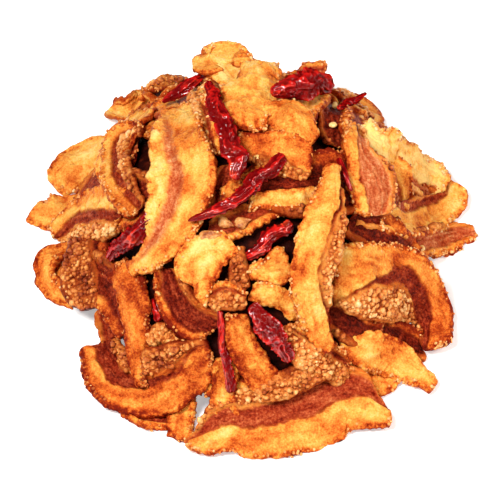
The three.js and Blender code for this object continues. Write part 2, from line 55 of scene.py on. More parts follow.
# Shares of a slice's width, from its lean edge at 0 to its rind at 1, where the granules end, where
# the orange seam beside them ends and where the meat ends, at even steps along it. The rest is fat.
ALL_FAT = ((0, 0, 0),)
ZONES = {
    "full": ((0.15, 0.2, 0.45), (0.3, 0.36, 0.62), (0.25, 0.33, 0.58), (0.3, 0.36, 0.6), (0.1, 0.2, 0.5)),
    "stripe": ((0, 0, 0), (0.2, 0.22, 0.36), (0.3, 0.32, 0.5), (0.26, 0.28, 0.52), (0.1, 0.12, 0.4),
               (0, 0, 0)),
    "crescent": ((0, 0, 0), (0.42, 0.46, 0.55), (0.46, 0.5, 0.76), (0.1, 0.14, 0.55), (0, 0, 0.1)),
    "bowl": ((0, 0.02, 0.6), (0.3, 0.33, 0.66), (0.36, 0.42, 0.54), (0.35, 0.48, 0.54), (0, 0, 0)),
    "broad": ((0, 0, 0), (0.08, 0.12, 0.42), (0.22, 0.26, 0.57), (0.24, 0.27, 0.58), (0.16, 0.19, 0.6),
              (0.07, 0.1, 0.53), (0, 0.05, 0.32), (0, 0, 0)),
    "cuffed": ((0, 0, 0), (0, 0.05, 0.2), (0.3, 0.35, 0.38), (0.32, 0.36, 0.38), (0, 0, 0.1), (0, 0, 0)),
    "side": ((0.5, 0.55, 0.6), (0.45, 0.5, 0.7), (0.3, 0.35, 0.7), (0.2, 0.25, 0.6), (0, 0.05, 0.4)),
    "drape": ((0, 0, 0.1), (0, 0.05, 0.5), (0.05, 0.1, 0.72), (0.1, 0.15, 0.7)),
    "fatty": ((0, 0, 0), (0, 0.02, 0.25), (0.03, 0.06, 0.28), (0, 0, 0.25), (0, 0, 0)),
    "fat": ALL_FAT,
    "leaf": ALL_FAT,
    "crumpled": ALL_FAT,
    "crumbed": ((0, 0, 0), (0.25, 0.3, 0.3), (0.3, 0.35, 0.35), (0.1, 0.1, 0.1)),
    "lean": ((0, 0.15, 0.8), (0.08, 0.15, 0.85), (0, 0.1, 0.75), (0.05, 0.2, 0.8)),
    "grainy": ((0.6, 0.65, 0.8), (0.75, 0.8, 0.9), (0.55, 0.6, 0.8)),
    "grain": ((1.1, 1.1, 1.1),),
}

SMOOTH_KINDS = ("stripe",)  # lumpy where others have granules
WILDNESS = {"leaf": 0.35, "crumpled": 1.9}  # how ragged and wavy a kind is, where not 1
ROLLS = {"L7": 25, "L3": 30}  # slices that lie rolled over to one side, in degrees

# Each slice that shows: name, kind, which long edge is the rind (1 the left, -1 the right, going
# from its first point to its last), how far its edges curl up in degrees, how pale its fat and its
# meat are, from about -1.5 to 1.5, with the fat's at its last point where that differs, and its
# middle line, seen from the front, as (across, up, lift above the mound, width). The CAD model has
# the same slices, apart from L11 and T12.
SLICES = [
    ("L8", "grainy", -1, 30, (-0.4, -0.5),
     [(-50, 79, 3, 5.5), (-42, 81.5, 4, 9), (-33.5, 82, 4, 11), (-27.5, 81.5, 3, 10)]),
    ("L7", "crumpled", -1, 80, (0.9, 0),
     [(-65, 72.5, 5, 10), (-57, 70.5, 7, 16), (-50, 71.5, 7, 18), (-44.5, 72.5, 5, 13)]),
    ("L11", "lean", 1, 0, (-0.8, -0.8), [(-53, 73, 1, 9), (-42, 76, 1, 13), (-30, 77.5, 1, 12)]),
    ("L9", "fat", 1, 0, (-0.3, -0.3),
     [(-34.5, 75.5, 3, 7), (-40.5, 71.5, 3, 10), (-45, 65.5, 3, 11), (-47, 57, 2, 8)]),
    ("L5", "fat", -1, -30, (0.8, 0),
     [(-89.5, 35.5, 3, 8), (-84, 42, 5, 20), (-75, 47.5, 6, 26), (-64.5, 53, 5, 23.5)]),
    ("L6", "side", -1, 20, (0.1, -0.3),
     [(-49.5, 62.5, 9, 7), (-59, 58, 10, 13.5), (-61.5, 48, 10, 14.5), (-59, 36.5, 10, 15.5),
      (-51.5, 24.5, 9, 11.5)]),
    ("L4a", "fat", 1, -20, (0.2, 0),
     [(-100, 25, 1, 10), (-91.5, 24.5, 3, 15.5), (-81.5, 25, 3, 16), (-71, 25, 2, 15.5)]),
    ("L4b", "full", 1, -20, (0.1, -0.3),
     [(-89.5, 13.5, 3, 8), (-81.5, 19.5, 6, 21.5), (-69.5, 24.5, 8, 24.5), (-58, 25, 6, 19)]),
    ("L2", "grainy", 1, 0, (-1.4, -1.2),
     [(-73.5, 14, 6, 18), (-75, 3, 7, 23.5), (-74, -8, 7, 24.5), (-69.5, -18.5, 5, 15.5)]),
    ("L10", "lean", 1, 0, (-0.4, -0.6),
     [(-68, -18.5, 1, 11.5), (-65, -26.5, 1, 11), (-63.5, -36.5, 1, 11.5)]),
    ("L3", "fat", 1, 30, (-0.25, 0),
     [(-84, 7, 5, 8), (-92, 4.5, 5, 11), (-93, -3.5, 3, 10), (-88.5, -11, 2, 10),
      (-79.5, -15.5, 1, 9)]),
    ("L3b", "fat", 1, 0, (-0.4, -0.4),
     [(-87.5, 5, 1, 8), (-88.5, -2, 1, 10), (-86, -8.5, 1, 10), (-81.5, -13, 1, 9)]),
    ("C1", "stripe", 1, 10, (0.3, 0.9),
     [(-33.5, 72.5, 9, 16), (-34, 57, 11, 24.5), (-32, 39, 13, 30), (-37.5, 17, 13, 22.5),
      (-47, 4, 12, 11), (-56.5, -1.5, 11, 6.5)]),
    ("C2", "full", 1, 0, (0.3, 0),
     [(-24, 79, 6, 9), (-21, 70.5, 6, 11.5), (-19, 61.5, 6, 11), (-16.5, 52.5, 5, 7)]),
    ("C18", "lean", 1, 0, (-0.6, -0.6),
     [(-11, 45.5, 3, 9), (-13.5, 35.5, 3, 11.5), (-14, 25.5, 3, 11)]),
    ("C19", "fat", 1, 0, (-0.1, 0), [(-14, 31, 4, 6.5), (-3.5, 37.5, 5, 8), (7, 44.5, 5, 6.5)]),
    ("V1", "fat", 1, -30, (-1.4, 0, -0.4),
     [(-61.5, 0.5, 10, 12.5), (-54.5, -14, 11, 16), (-52.5, -28.5, 11, 13.5), (-51.5, -42, 11, 9),
      (-50, -54.5, 10, 4)]),
    ("L1", "bowl", -1, 20, (-1.0, -0.6),
     [(-69.5, -35, 5, 15.5), (-63.5, -47.5, 6, 26), (-49.5, -54, 6, 28), (-33, -46, 6, 27.5),
      (-18, -38, 6, 12.5)]),
    ("L1b", "grain", -1, 0, (0.1, 0), [(-46.5, -33, 4, 7), (-40, -30, 5, 9), (-31, -33.5, 4, 8)]),
    ("B2", "lean", -1, 0, (-0.6, -0.6),
     [(-59, -63, 1, 6.5), (-48.5, -67, 1, 11.5), (-38, -68, 1, 11.5), (-28.5, -64.5, 1, 9)]),
    ("B3", "fat", 1, 0, (-0.2, 0), [(-32, -56, 2, 11), (-32.5, -68, 2, 12), (-33.5, -78, 1, 12)]),
    ("T2", "fat", 1, 0, (0.3, 0), [(-9.5, 93, 11, 9), (-4.5, 95, 12, 11), (0.5, 93, 10, 8)]),
    ("T1", "crumpled", 1, 0, (1.1, 0),
     [(-26.5, 92, 9, 9), (-20.5, 94.5, 12, 16), (-14, 93.5, 12, 20), (-6, 86, 9, 18)]),
    ("T3", "crumpled", 1, -20, (0.35, 0),
     [(5.5, 93.5, 9, 11.5), (0.5, 83.5, 11, 23.5), (-2, 71.5, 12, 20.5), (-1.5, 62, 10, 11)]),
    ("T4", "lean", 1, 0, (-0.3, 0), [(15, 84, 1, 9), (24, 87.5, 2, 11.5), (33.5, 88, 2, 11)]),
    ("T5b", "crumbed", 1, -15, (-0.5, 0.4),
     [(-6, 54, 4, 10), (5, 52.5, 6, 18), (16, 50, 7, 21), (26.5, 47, 6.5, 16)]),
    ("T5a", "crumpled", 1, -60, (0, 0),
     [(2, 70.5, 8, 10), (11, 70, 11, 16), (20.5, 65, 12, 18), (27, 55.5, 9.5, 15)]),
    ("T5c", "lean", 1, 0, (-0.6, -0.6), [(-0.5, 38.5, 1, 10), (14, 37.5, 1, 11), (29.5, 40, 1, 10)]),
    ("T6", "lean", 1, 20, (-0.8, -0.9),
     [(34.5, 78, 4, 11.5), (36, 70, 4, 14.5), (37, 61.5, 3, 15.5), (37.5, 53.5, 3, 11.5)]),
    ("T7", "fat", 1, -20, (0.2, 0),
     [(35.5, 76, 4, 11), (44, 74.5, 5, 14.5), (51, 69.5, 5, 15.5), (55, 59, 4, 14.5)]),
    ("T8", "fatty", 1, 15, (1.4, 0.7),
     [(47.5, 62, 7, 12.5), (56, 53.5, 9, 22.5), (66.5, 46.5, 9, 23.5), (78.5, 40, 8, 21),
      (87, 34.5, 6, 11)]),
    ("T9", "drape", -1, -30, (0.2, 1.0),
     [(44.5, 65.5, 11, 7), (47.5, 52.5, 13, 13.5), (53.5, 39, 13, 24.5), (55, 23, 11, 17)]),
    ("T10", "fatty", 1, 25, (0.8, 0, 0.1),
     [(92.5, 36.5, 3, 8), (89.5, 29, 4, 13.5), (79.5, 24, 4, 18), (67, 21.5, 5, 18),
      (56.5, 23, 4, 15.5)]),
    ("T11", "lean", 1, 10, (0.2, 0.8),
     [(100.5, 14.5, 1, 7), (91, 14, 1, 13.5), (77.5, 11.5, 2, 12.5), (61.5, 12, 3, 12.5),
      (44.5, 14, 3, 12.5)]),
    ("T12", "lean", 1, 0, (-0.5, -0.6), [(64, 35.5, 1, 12), (75, 32, 1, 12), (88, 29, 1, 10)]),
    ("C5", "fat", -1, -20, (0.5, 0),
     [(-2, 29, 5, 6.5), (8.5, 30, 5, 8.5), (20.5, 31, 5, 8.5), (30, 33, 5, 8)]),
    ("C6", "lean", -1, 0, (-0.6, -0.6),
     [(-20, 16, 3, 10), (-9.5, 18.5, 3, 12.5), (4, 24.5, 3, 9), (21, 30, 2, 7)]),
    ("C3", "fat", -1, 0, (0.45, 0),
     [(-9.5, 11.5, 7, 10), (-18.5, 7, 9, 17), (-25.5, -0.5, 10, 19), (-28.5, -8, 9, 10)]),
    ("C3b", "fat", 1, 0, (0.1, 0), [(-21, -4, 7, 8), (-22.5, -11, 8, 6.5), (-21, -17, 8, 3.5)]),
    ("C8", "fat", 1, 10, (0.4, 0),
     [(-3, -2.5, 5, 4.5), (4, -1.5, 5, 9), (10.5, 0, 6, 14.5), (16.5, 2.5, 5, 15.5)]),
    ("C9", "fat", 1, -20, (0.4, 0),
     [(-2, -12, 5, 6), (6, -12, 7, 8.5), (14, -16, 7, 9.5), (22, -22, 5, 8)]),
    ("C10", "grain", 1, 0, (-0.6, 0), [(-7.5, 8.5, 5, 4), (-6.5, -0.5, 6, 7), (-4.5, -11, 6, 7)]),
    ("C11", "grainy", -1, 0, (-0.2, 0), [(-3, -14, 7, 6.5), (-11, -13, 8, 11.5), (-20, -14, 7, 9)]),
    ("C12", "lean", -1, 20, (-0.7, -0.8),
     [(-39, -0.5, 4, 9), (-35, -13, 5, 16), (-28.5, -23, 5, 19), (-16.5, -27.5, 4, 12.5)]),
    ("M2", "cuffed", -1, -50, (0.1, -0.6, 0.5),
     [(36, 46.5, 14, 7), (35, 31, 17, 16), (29.5, 10, 18, 21), (26, -8, 18, 18), (28.5, -23, 17, 15),
      (34, -37.5, 14, 8)]),
    # M1's fat darkens towards its last point: painted shade on the end of its rim that turns away from
    # the light.
    ("M1", "crescent", 1, -20, (0.5, -0.6, -1.5),
     [(36.5, -4, 9, 24.5), (52, -6, 10, 34), (70, -9, 10, 34), (80.5, -21.5, 8, 20.5),
      (82, -37.5, 5, 11)]),
    ("C14", "fat", -1, -10, (-0.6, 0),
     [(-7, -20.5, 7, 8), (-5.5, -32, 9, 12.5), (-0.5, -42.5, 10, 13.5), (7, -53, 9, 13),
      (11, -57, 7, 7)]),
    ("C15", "grainy", 1, 0, (-0.2, -0.3),
     [(15, -26.5, 6, 7), (22, -35, 7, 16), (31, -41, 7, 17), (43, -46.5, 5, 13.5)]),
    ("C16", "lean", 1, 0, (-1.2, -1.2), [(34, -20, 3, 11), (44.5, -26.5, 3, 16), (55.5, -31, 3, 15.5)]),
    ("C17", "lean", 1, 0, (-1.2, -1.2),
     [(53.5, -27.5, 3, 11), (65.5, -32, 3, 14.5), (77, -36.5, 2, 11)]),
    ("M3", "leaf", -1, -20, (0.35, 0),
     [(40, -37, 6, 7), (52, -37.5, 7, 17), (65.5, -42.5, 6, 16), (81.5, -54.5, 3, 4.5)]),
    ("M4", "leaf", -1, 0, (-0.1, 0),
     [(41, -42, 1, 11.5), (50, -49.5, 2, 16), (59, -52.5, 2, 11.5), (65.5, -51.5, 2, 4.5)]),
    ("B4", "fat", -1, 0, (-0.4, 0), [(-22, -53.5, 3, 8), (-13, -53, 3, 11.5), (-3, -57, 3, 9)]),
    ("B5", "fat", 1, 15, (-0.1, 0),
     [(-8, -38, 4, 8), (-12, -48, 6, 11), (-13, -60, 7, 10), (-9, -69, 7, 8)]),
    ("B6", "grain", 1, 0, (-0.1, 0),
     [(3, -55, 7, 7), (13, -53, 9, 11), (24, -48, 9, 12), (34, -44, 8, 8)]),
    ("B1", "broad", -1, -15, (0, 0),
     [(-29.5, -80, 3, 4), (-21.5, -77.5, 5, 15), (-11, -71, 8, 26), (4, -69, 10, 33), (21, -64, 10, 38),
      (41.5, -60.5, 9, 33), (53.5, -64.5, 6, 17), (62.5, -68.5, 4, 5.5)]),
]

# Slices that close the gaps (F) and cover the sides and the back (K), the same but placed in plan,
# as (x, y, lift, width). K7 and K8 aren't in the CAD model.
BACK_SLICES = [
    ("F1", "lean", 1, 0, (-1.2, -1.1), [(44, -14, 5.5, 16), (60, -13, 4.5, 22), (74, -12, 3, 16)]),
    ("F3", "full", 1, 10, (-0.1, -0.2), [(50, 46, 5, 20), (60, 26, 5, 28), (68, 8, 3, 18)]),
    ("F4", "lean", 1, 0, (-0.3, -0.3), [(-52, 34, 4, 20), (-68, 31, 5, 28), (-82, 27, 3, 20)]),
    ("F5", "lean", -1, 10, (-0.9, -0.9),
     [(-80, -8, 2, 14), (-72, -18, 3, 22), (-62, -32, 3, 22), (-54, -48, 3, 18)]),
    ("F6", "fat", -1, 10, (0.2, 0), [(-46, 62, 5, 18), (-58, 44, 6, 28), (-64, 26, 5, 22)]),
    ("K1", "full", 1, 10, (0.1, -0.2),
     [(-22, 34, 4, 18), (-28, 50, 4, 30), (-32, 66, 3, 30), (-33, 80, 2, 18)]),
    ("K3", "fatty", -1, 15, (0.2, -0.2),
     [(12, 28, 2, 18), (17, 46, 2, 28), (18, 64, 3, 30), (18, 84, 3, 20)]),
    ("K4", "lean", 1, 0, (-0.3, -0.2), [(46, 32, 3, 20), (52, 50, 4, 30), (50, 66, 4, 24)]),
    ("K5", "lean", 1, 0, (-1.5, -1.3),
     [(0, -6, 3, 20), (20, -2, 3, 32), (38, 4, 3, 32), (52, 12, 3, 20)]),
    ("K6", "full", 1, 0, (0, -0.2),
     [(-8, 12, 3, 20), (-3, 34, 3.5, 32), (2, 56, 4, 34), (0, 78, 4, 24)]),
    ("K7", "lean", 1, 0, (-0.9, -0.9),
     [(-38, -10, 3, 18), (-50, 0, 3, 26), (-62, 8, 3, 28), (-74, 14, 3, 20)]),
    ("K8", "full", -1, 10, (0.1, -0.3),
     [(-28, 74, 3, 14), (-12, 81, 4, 24), (6, 82, 4, 26), (22, 77, 3, 16)]),
]

# The middle line of each chilli, seen from the front, as (across, up, lift, radius).
CHILLIES = [
    [(-41, 74.5, 10, 1.4), (-33.5, 79, 11, 3.2), (-27.5, 83, 12, 3.6), (-23, 87, 11, 1.8)],
    [(-20.5, 83, 14, 2), (-17, 74.5, 16, 4.3), (-11.5, 61.5, 17, 5.2), (-7.5, 48, 17, 5.4),
     (-7.5, 39, 16, 2.2)],
    [(8, 78, 13, 2.3), (15.5, 81, 16, 6.3), (25, 82.5, 17, 7.7), (32.5, 84, 15, 5),
     (35.5, 85, 14, 1.4)],
    [(39, 71.5, 9, 1.4), (44.5, 74.5, 10, 2.3), (51.5, 79, 10, 0.7)],
    [(-29, 20.5, 16, 0.7), (-21.5, 24, 17, 2.3), (-8, 30, 14, 3.6), (2, 39, 12, 4.5),
     (13.5, 50, 9, 3.2)],
    [(-65, 4, 12, 2.3), (-57.5, 11, 16, 5), (-49.5, 18.5, 18, 5), (-42, 28.5, 17, 0.9)],
    [(-3.5, 4, 5, 1.8), (1.5, 7.5, 5, 3.6), (8.5, 13, 5, 4.5), (17.5, 19.5, 5, 3.2)],
    [(0, -16, 12, 3.6), (6, -25, 15, 5.9), (12.5, -36, 15, 5), (16, -42.5, 13, 2.3)],
    [(-15.5, -19.5, 11, 1.4), (-13.5, -33, 12, 2.3), (-12, -44.5, 12, 2.3), (-9.5, -56, 10, 2.7)],
    [(-44.5, -14, 3, 2.3), (-42.5, -24.5, 3, 2.3)],
    [(38.5, 49, 9, 1.4), (41, 42, 10, 1.8), (44.5, 34, 10, 0.9)],
]

# Bits of fried garlic: (across, up, lift, length, width, heading in degrees).
GARLIC = [
    (-12, 19.5, 6, 7.5, 6, -20),
    (-4.5, 20, 6, 7.5, 6, 20),
    (-18.5, 14, 10, 11.5, 5.5, 0),
]

# Loose chilli seeds: (across, up, lift, heading in degrees).
SEEDS = [(37, 73, 6, 70), (36, 64, 5.5, 20), (2, 49, 5.2, 0), (76, 8.5, 3.5, 10)]
SEED_SIZE = 4, 2.8, 1.6

# Slices round the foot at the back, each lying along the mound and crossing its neighbours. Angles
# are in degrees round the mound, and shares are of the way from its middle to its foot.
SKIRT = dict(count=5, start=38, step=26, span=36, share=0.91, slant=0.08, lift=3, lap=2.5)
SKIRT_WIDTHS, SKIRT_CURLS = (14, 24, 27, 18), (-18, 12)
SKIRT_TONES = ((-0.2, -0.4), (0.2, 0))


def on_mound(share, degrees):
    """The place in plan at that share of the way to the mound's foot, at that angle round it."""
    turn = math.radians(degrees)
    return share * HALF_WIDTH * math.cos(turn), MIDDLE + share * HALF_DEPTH * math.sin(turn)


def skirt_slice(i):
    """A slice of the skirt, as a row of the tables above. Odd ones lie over the even ones."""
    odd = i % 2
    rind = 1 if odd else -1
    middle = []
    for k, width in enumerate(SKIRT_WIDTHS):
        along = k / (len(SKIRT_WIDTHS) - 1) - 0.5
        turn = SKIRT["start"] + SKIRT["step"] * i + SKIRT["span"] * along
        share = SKIRT["share"] + rind * SKIRT["slant"] * along
        middle.append((*on_mound(share, turn), SKIRT["lift"] + odd * SKIRT["lap"], width))
    return f"S{i}", "full", rind, SKIRT_CURLS[odd], SKIRT_TONES[odd], middle


# Short slices under the skirt, each straight down the mound to the table, in this scene only.
TONGUES = dict(count=4, start=50, step=27, lift=1.5, curl=10, tones=(-0.2, -0.4))
TONGUE_SHARES, TONGUE_WIDTHS = (0.84, 0.93, 1.0), (16, 22, 15)


def tongue_slice(i):
    """A short slice under the skirt, as a row of the tables above, its rind to either side."""
    turn, rind = TONGUES["start"] + TONGUES["step"] * i, -1 if i % 2 else 1
    middle = [(*on_mound(share, turn), TONGUES["lift"], width)
              for share, width in zip(TONGUE_SHARES, TONGUE_WIDTHS)]
    return f"G{i}", "fatty", rind, TONGUES["curl"], TONGUES["tones"], middle


# ---------------------------------------------------------------- the mound and lines of sight

SHORT_STEP, CURVE_STEPS = 0.01, 600  # along a curve that goes from 0 to 1
END_STEPS, END_GAP = 5, 0.02  # where its ends are rounded off, the gap in millimetres


def spread(x, y):
    """How far a place is from the mound's middle, squared, in shares of its half size."""
    return (x / HALF_WIDTH) ** 2 + ((y - MIDDLE) / HALF_DEPTH) ** 2


def mound_height(x, y):
    """The mound's height at a place."""
    return HEIGHT * np.maximum(0, 1 - spread(x, y) ** SQUARENESS)


def smoothstep(x, low, high):
    """0 up to low and 1 from high on, with a soft rise between them."""
    f = np.clip((x - low) / (high - low), 0, 1)
    return f * f * (3 - 2 * f)


def unit(v):
    return v / np.linalg.norm(v, axis=-1, keepdims=True)


def mound_normal(places):
    """The way straight out of the mound at places on it."""
    x, y = places[..., 0], places[..., 1]
    q = np.maximum(spread(x, y), TINY)
    fade = 1 - smoothstep(q, *FOOT_FADE)
    steepness = 2 * HEIGHT * SQUARENESS * q ** (SQUARENESS - 1) * fade
    across = steepness * x / HALF_WIDTH**2
    depth = steepness * (y - MIDDLE) / HALF_DEPTH**2
    return unit(np.stack([across, depth, np.ones_like(q)], axis=-1))


def seen_at(across, up, lift):
    """The point at that lift above the mound which is seen at (across, up) from the front."""
    y = np.arange(-SIGHT_FROM, SIGHT_STOP - SOONER_BY_LIFT * lift + TINY, SIGHT_STEP)
    height = (up - y * sight_sin) / sight_cos
    clearance = height - mound_height(across, y) - lift
    met = np.nonzero(clearance <= 0)[0]
    i = met[0] if len(met) else int(np.argmin(clearance))
    return [across, y[i], max(height[i], lift)]


def in_plan(x, y, lift):
    """The point at that lift above the mound, at (x, y) in plan."""
    return [x, y, mound_height(x, y) + lift]


def through(rows, t):
    """A smooth curve through rows of numbers, at each t from 0 to 1."""
    rows = np.asarray(rows, float)
    padded = np.concatenate([[2 * rows[0] - rows[1]], rows, [2 * rows[-1] - rows[-2]]])
    spans = len(rows) - 1
    i = np.minimum((t * spans).astype(int), spans - 1)
    f = (t * spans - i)[:, None]
    a, b, d, e = (padded[i + k] for k in range(4))
    bend = 2 * a - 5 * b + 4 * d - e + f * (3 * (b - d) + e - a)
    return b + 0.5 * f * (d - a + f * bend)


def frames(rows, t, facing_share):
    """Places along a piece, and its direction, its face's normal and the way to its left there."""
    place = through(rows, t)[:, :3]
    ahead = through(rows, np.minimum(t + SHORT_STEP, 1))
    behind = through(rows, np.maximum(t - SHORT_STEP, 0))
    along = unit((ahead - behind)[:, :3])
    facing = mound_normal(place) * (1 - facing_share) + TOWARDS_FRONT * facing_share
    facing = unit(facing - along * np.sum(facing * along, axis=1, keepdims=True))
    return place, along, facing, np.cross(facing, along)


def evenly(rows, cell, rounded):
    """Values of t about a cell apart along a curve, closer where its ends are rounded off."""
    t = np.linspace(0, 1, CURVE_STEPS)
    steps = np.linalg.norm(np.diff(through(rows, t)[:, :3], axis=0), axis=1)
    length = np.concatenate([[0], np.cumsum(steps)])
    whole = length[-1]
    turn = np.linspace(0, math.pi / 2, END_STEPS + 1)[:-1]
    near = rounded * (1 - np.cos(turn)) + END_GAP
    middle = np.linspace(rounded, whole - rounded, max(2, int((whole - 2 * rounded) / cell) + 1))
    at = np.concatenate([near, middle, whole - near[::-1]])
    return np.interp(at, length, t), at, whole


# ---------------------------------------------------------------- repeatable noise


def lattice(ix, iy, iz):
    """A repeatable number from 0 to 1 for each whole-numbered place."""
    n = (ix * 374761393 + iy * 668265263 + iz * 974634777) & 0xFFFFFFFF
    n = ((n ^ (n >> 13)) * 1274126177) & 0xFFFFFFFF
    n = ((n ^ (n >> 15)) * 668265263) & 0xFFFFFFFF
    return ((n ^ (n >> 16)) & 0xFFFFF) / 0xFFFFF


def noise(x, y, z):
    """Smooth noise from -1 to 1, with lumps one unit across."""
    x, y, z = np.broadcast_arrays(x, y, z)
    ix, iy, iz = (np.floor(v).astype(np.int64) for v in (x, y, z))
    fx, fy, fz = (smoothstep(v - i, 0, 1) for v, i in ((x, ix), (y, iy), (z, iz)))
    total = 0
    for dx, wx in ((0, 1 - fx), (1, fx)):
        for dy, wy in ((0, 1 - fy), (1, fy)):
            for dz, wz in ((0, 1 - fz), (1, fz)):
                total = total + wx * wy * wz * lattice(ix + dx, iy + dy, iz + dz)
    return 2 * total - 1


def layered(x, y, z):
    """Noise with finer noise on it, in three layers."""
    total, size = 0, 1.0
    for k in range(3):
        total = total + size * noise(x * 2**k + 7.3 * k, y * 2**k - 3.1 * k, z + 19 * k)
        size /= 2
    return total / (2 - 2 * size)


def domes(x, y, seed):
    """Round bumps on scattered points, one to a unit square: 1 on top, 0 in the creases."""
    inset, room, reach = 0.15, 0.7, 0.75  # of a point in its square, and of a bump, squared
    ix, iy = np.floor(x).astype(np.int64), np.floor(y).astype(np.int64)
    nearest = np.full(np.broadcast(x, y).shape, np.inf)
    for dx in (-1, 0, 1):
        for dy in (-1, 0, 1):
            px = ix + dx + inset + room * lattice(ix + dx, iy + dy, seed)
            py = iy + dy + inset + room * lattice(ix + dx, iy + dy, seed + 1)
            nearest = np.minimum(nearest, (px - x) ** 2 + (py - y) ** 2)
    return np.sqrt(np.maximum(0, 1 - nearest / reach))


# ---------------------------------------------------------------- meshes


class Batch:
    """Vertices, faces and vertex values of several pieces that become one mesh."""

    def __init__(self):
        self.points, self.faces, self.values = [], [], {}
        self.count = 0

    def add(self, points, faces, **values):
        self.points.append(points.reshape(-1, 3))
        self.faces += [np.asarray(f) + self.count for f in faces]
        for name, value in values.items():
            self.values.setdefault(name, []).append(value)
        self.count += points.size // 3

    def build(self, name, material, slot, *nodes):
        """The mesh as a piece that stands for those CAD nodes."""
        mesh = bpy.data.meshes.new(name)
        faces = [face for part in self.faces for face in part.tolist()]
        mesh.from_pydata(np.concatenate(self.points) * MM, [], faces, shade_flat=False)
        for key, parts in self.values.items():
            value = np.concatenate([p.reshape(-1, 3) if p.ndim > 1 else p for p in parts])
            kind, field = ("FLOAT_VECTOR", "vector") if value.ndim > 1 else ("FLOAT", "value")
            layer = mesh.attributes.new(key, kind, "POINT")
            layer.data.foreach_set(field, value.astype(np.float32).ravel())
        mesh.materials.append(material)
        piece = bpy.data.objects.new(name, mesh)
        bpy.context.scene.collection.objects.link(piece)
        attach(piece, "root")
        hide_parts(*nodes)


def tube_faces(rings, sides):
    """Quads between closed rings of points, and a fan of triangles at each end."""
    i, k = np.meshgrid(np.arange(rings - 1), np.arange(sides), indexing="ij")
    a, b = i * sides + k, i * sides + (k + 1) % sides
    quads = np.stack([a, b, b + sides, a + sides], axis=-1).reshape(-1, 4)
    first, last = rings * sides, rings * sides + 1
    k = np.arange(sides)
    start = np.stack([np.full(sides, first), (k + 1) % sides, k], axis=-1)
    end = (rings - 1) * sides + np.stack([k, (k + 1) % sides, k], axis=-1)
    end[:, 2] = last
    return quads, start, end


def closed(surface):
    """The points of a grid of closed rows, with the middles of its first and last row as tips."""
    return np.concatenate([surface.reshape(-1, 3), surface[[0, -1]].mean(1)])


def with_tips(grid):
    """Values over a grid of closed rows as one list, with those of its two tips."""
    return np.concatenate([grid.reshape(-1, *grid.shape[2:]), grid[[0, -1], 0]])


# ---------------------------------------------------------------- belly slices

THICKNESS, RIND_SHARE, LEAN_SHARE = 2.7, 0.8, 0.55  # in the middle, and its edges' shares of it
ARC_STEPS, LEAST_COLUMNS, LEAST_WIDTH, END_ARC = 4, 7, 2.0, 1.6
CORNER_SHARE, CORNER_LIMITS, CORNER_POWER = 0.16, (1, 3), 2.6
ZONE_SOFTNESS, THIN_ZONE, CRUST_REACH = 1.1, 0.04, (0.6, 3.2)
ABOVE_TABLE = 0.6, 0.1  # least height of the upper and of the lower side


def across_loop(columns):
    """A slice's cross-section as a loop: side, face, turn round the edge, and place across."""
    turns = np.linspace(math.pi / 2, 0, ARC_STEPS + 1)
    top = np.linspace(1, -1, columns)
    below = np.linspace(-1, 1, columns // 3 + 3)
    rows = [(1, 1, t, 1) for t in turns] + [(0, 1, 0, v) for v in top[1:-1]]
    rows += [(-1, 1, t, -1) for t in turns[::-1]]
    rows += [(-1, -1, t, -1) for t in turns[1:]] + [(0, -1, 0, v) for v in below[1:-1]]
    rows += [(1, -1, t, 1) for t in turns[::-1][:-1]]
    return np.array(rows).T


def zone_shares(kind, along_share, c, width):
    """Shares of granules, orange seam, meat and of the meat's border at places across a slice."""
    rows = np.array(ZONES[kind], float)
    steps = np.linspace(0, 1, len(rows))
    soft = ZONE_SOFTNESS * (2 if kind in SMOOTH_KINDS else 1) / width
    below = []
    for column in rows.T:
        edge = np.interp(along_share, steps, column)[:, None]
        edge = np.where(edge > THIN_ZONE, edge, 4 * edge - 3 * THIN_ZONE) - soft * (edge <= 0)
        below.append(1 - smoothstep(c, edge - soft, edge + soft))
    seam, meat = np.maximum(below[1] - below[0], 0), np.maximum(below[2] - below[1], 0)
    return below[0], seam, meat, 4 * below[2] * (1 - below[2]) * (edge > THIN_ZONE)


def lean_back(place, facing, left, width):
    """How far a slice turns about its length so that its lower edge lies on the table."""
    lean = np.arctan2(left[:, 2], facing[:, 2])
    room = np.maximum(place[:, 2] - THICKNESS / 2, 0) / (width / 2)
    most = np.arcsin(np.minimum(room / np.hypot(left[:, 2], facing[:, 2]), 1))
    return np.clip(lean, -most, most) - lean


def turned(left, facing, angle):
    """Both directions turned by an angle, the left one towards the facing one."""
    cos, sin = np.cos(angle), np.sin(angle)
    return left * cos + facing * sin, facing * cos - left * sin


def slice_outline(width, end, s, v, on_rind, wild, seed):
    """Half widths, half thicknesses and how far the ends thin off, from 0 to 1."""
    corner = np.clip(CORNER_SHARE * width, *CORNER_LIMITS)
    round_off = (1 - (1 - np.minimum(end / corner, 1)) ** CORNER_POWER) ** (1 / CORNER_POWER)
    thin_off = np.sqrt(np.maximum(1 - (1 - np.minimum(end / END_ARC, 1)) ** 2, 0))[:, None]
    which, size = np.sign(v), np.abs(v)
    ragged = 0.9 * noise(s / 8, 3 * which, seed) + 0.45 * noise(s / 2.4, 5 * which, seed)
    crimped = 0.6 * np.abs(noise(s / 1.2, 9 * which, seed + 4)) * on_rind
    half = np.maximum(width, LEAST_WIDTH)[:, None] / 2 + wild * ragged * size + crimped * size
    share = 1 + (np.where(on_rind, RIND_SHARE, LEAN_SHARE) - 1) * size
    return half * round_off[:, None], THICKNESS / 2 * share * thin_off, thin_off


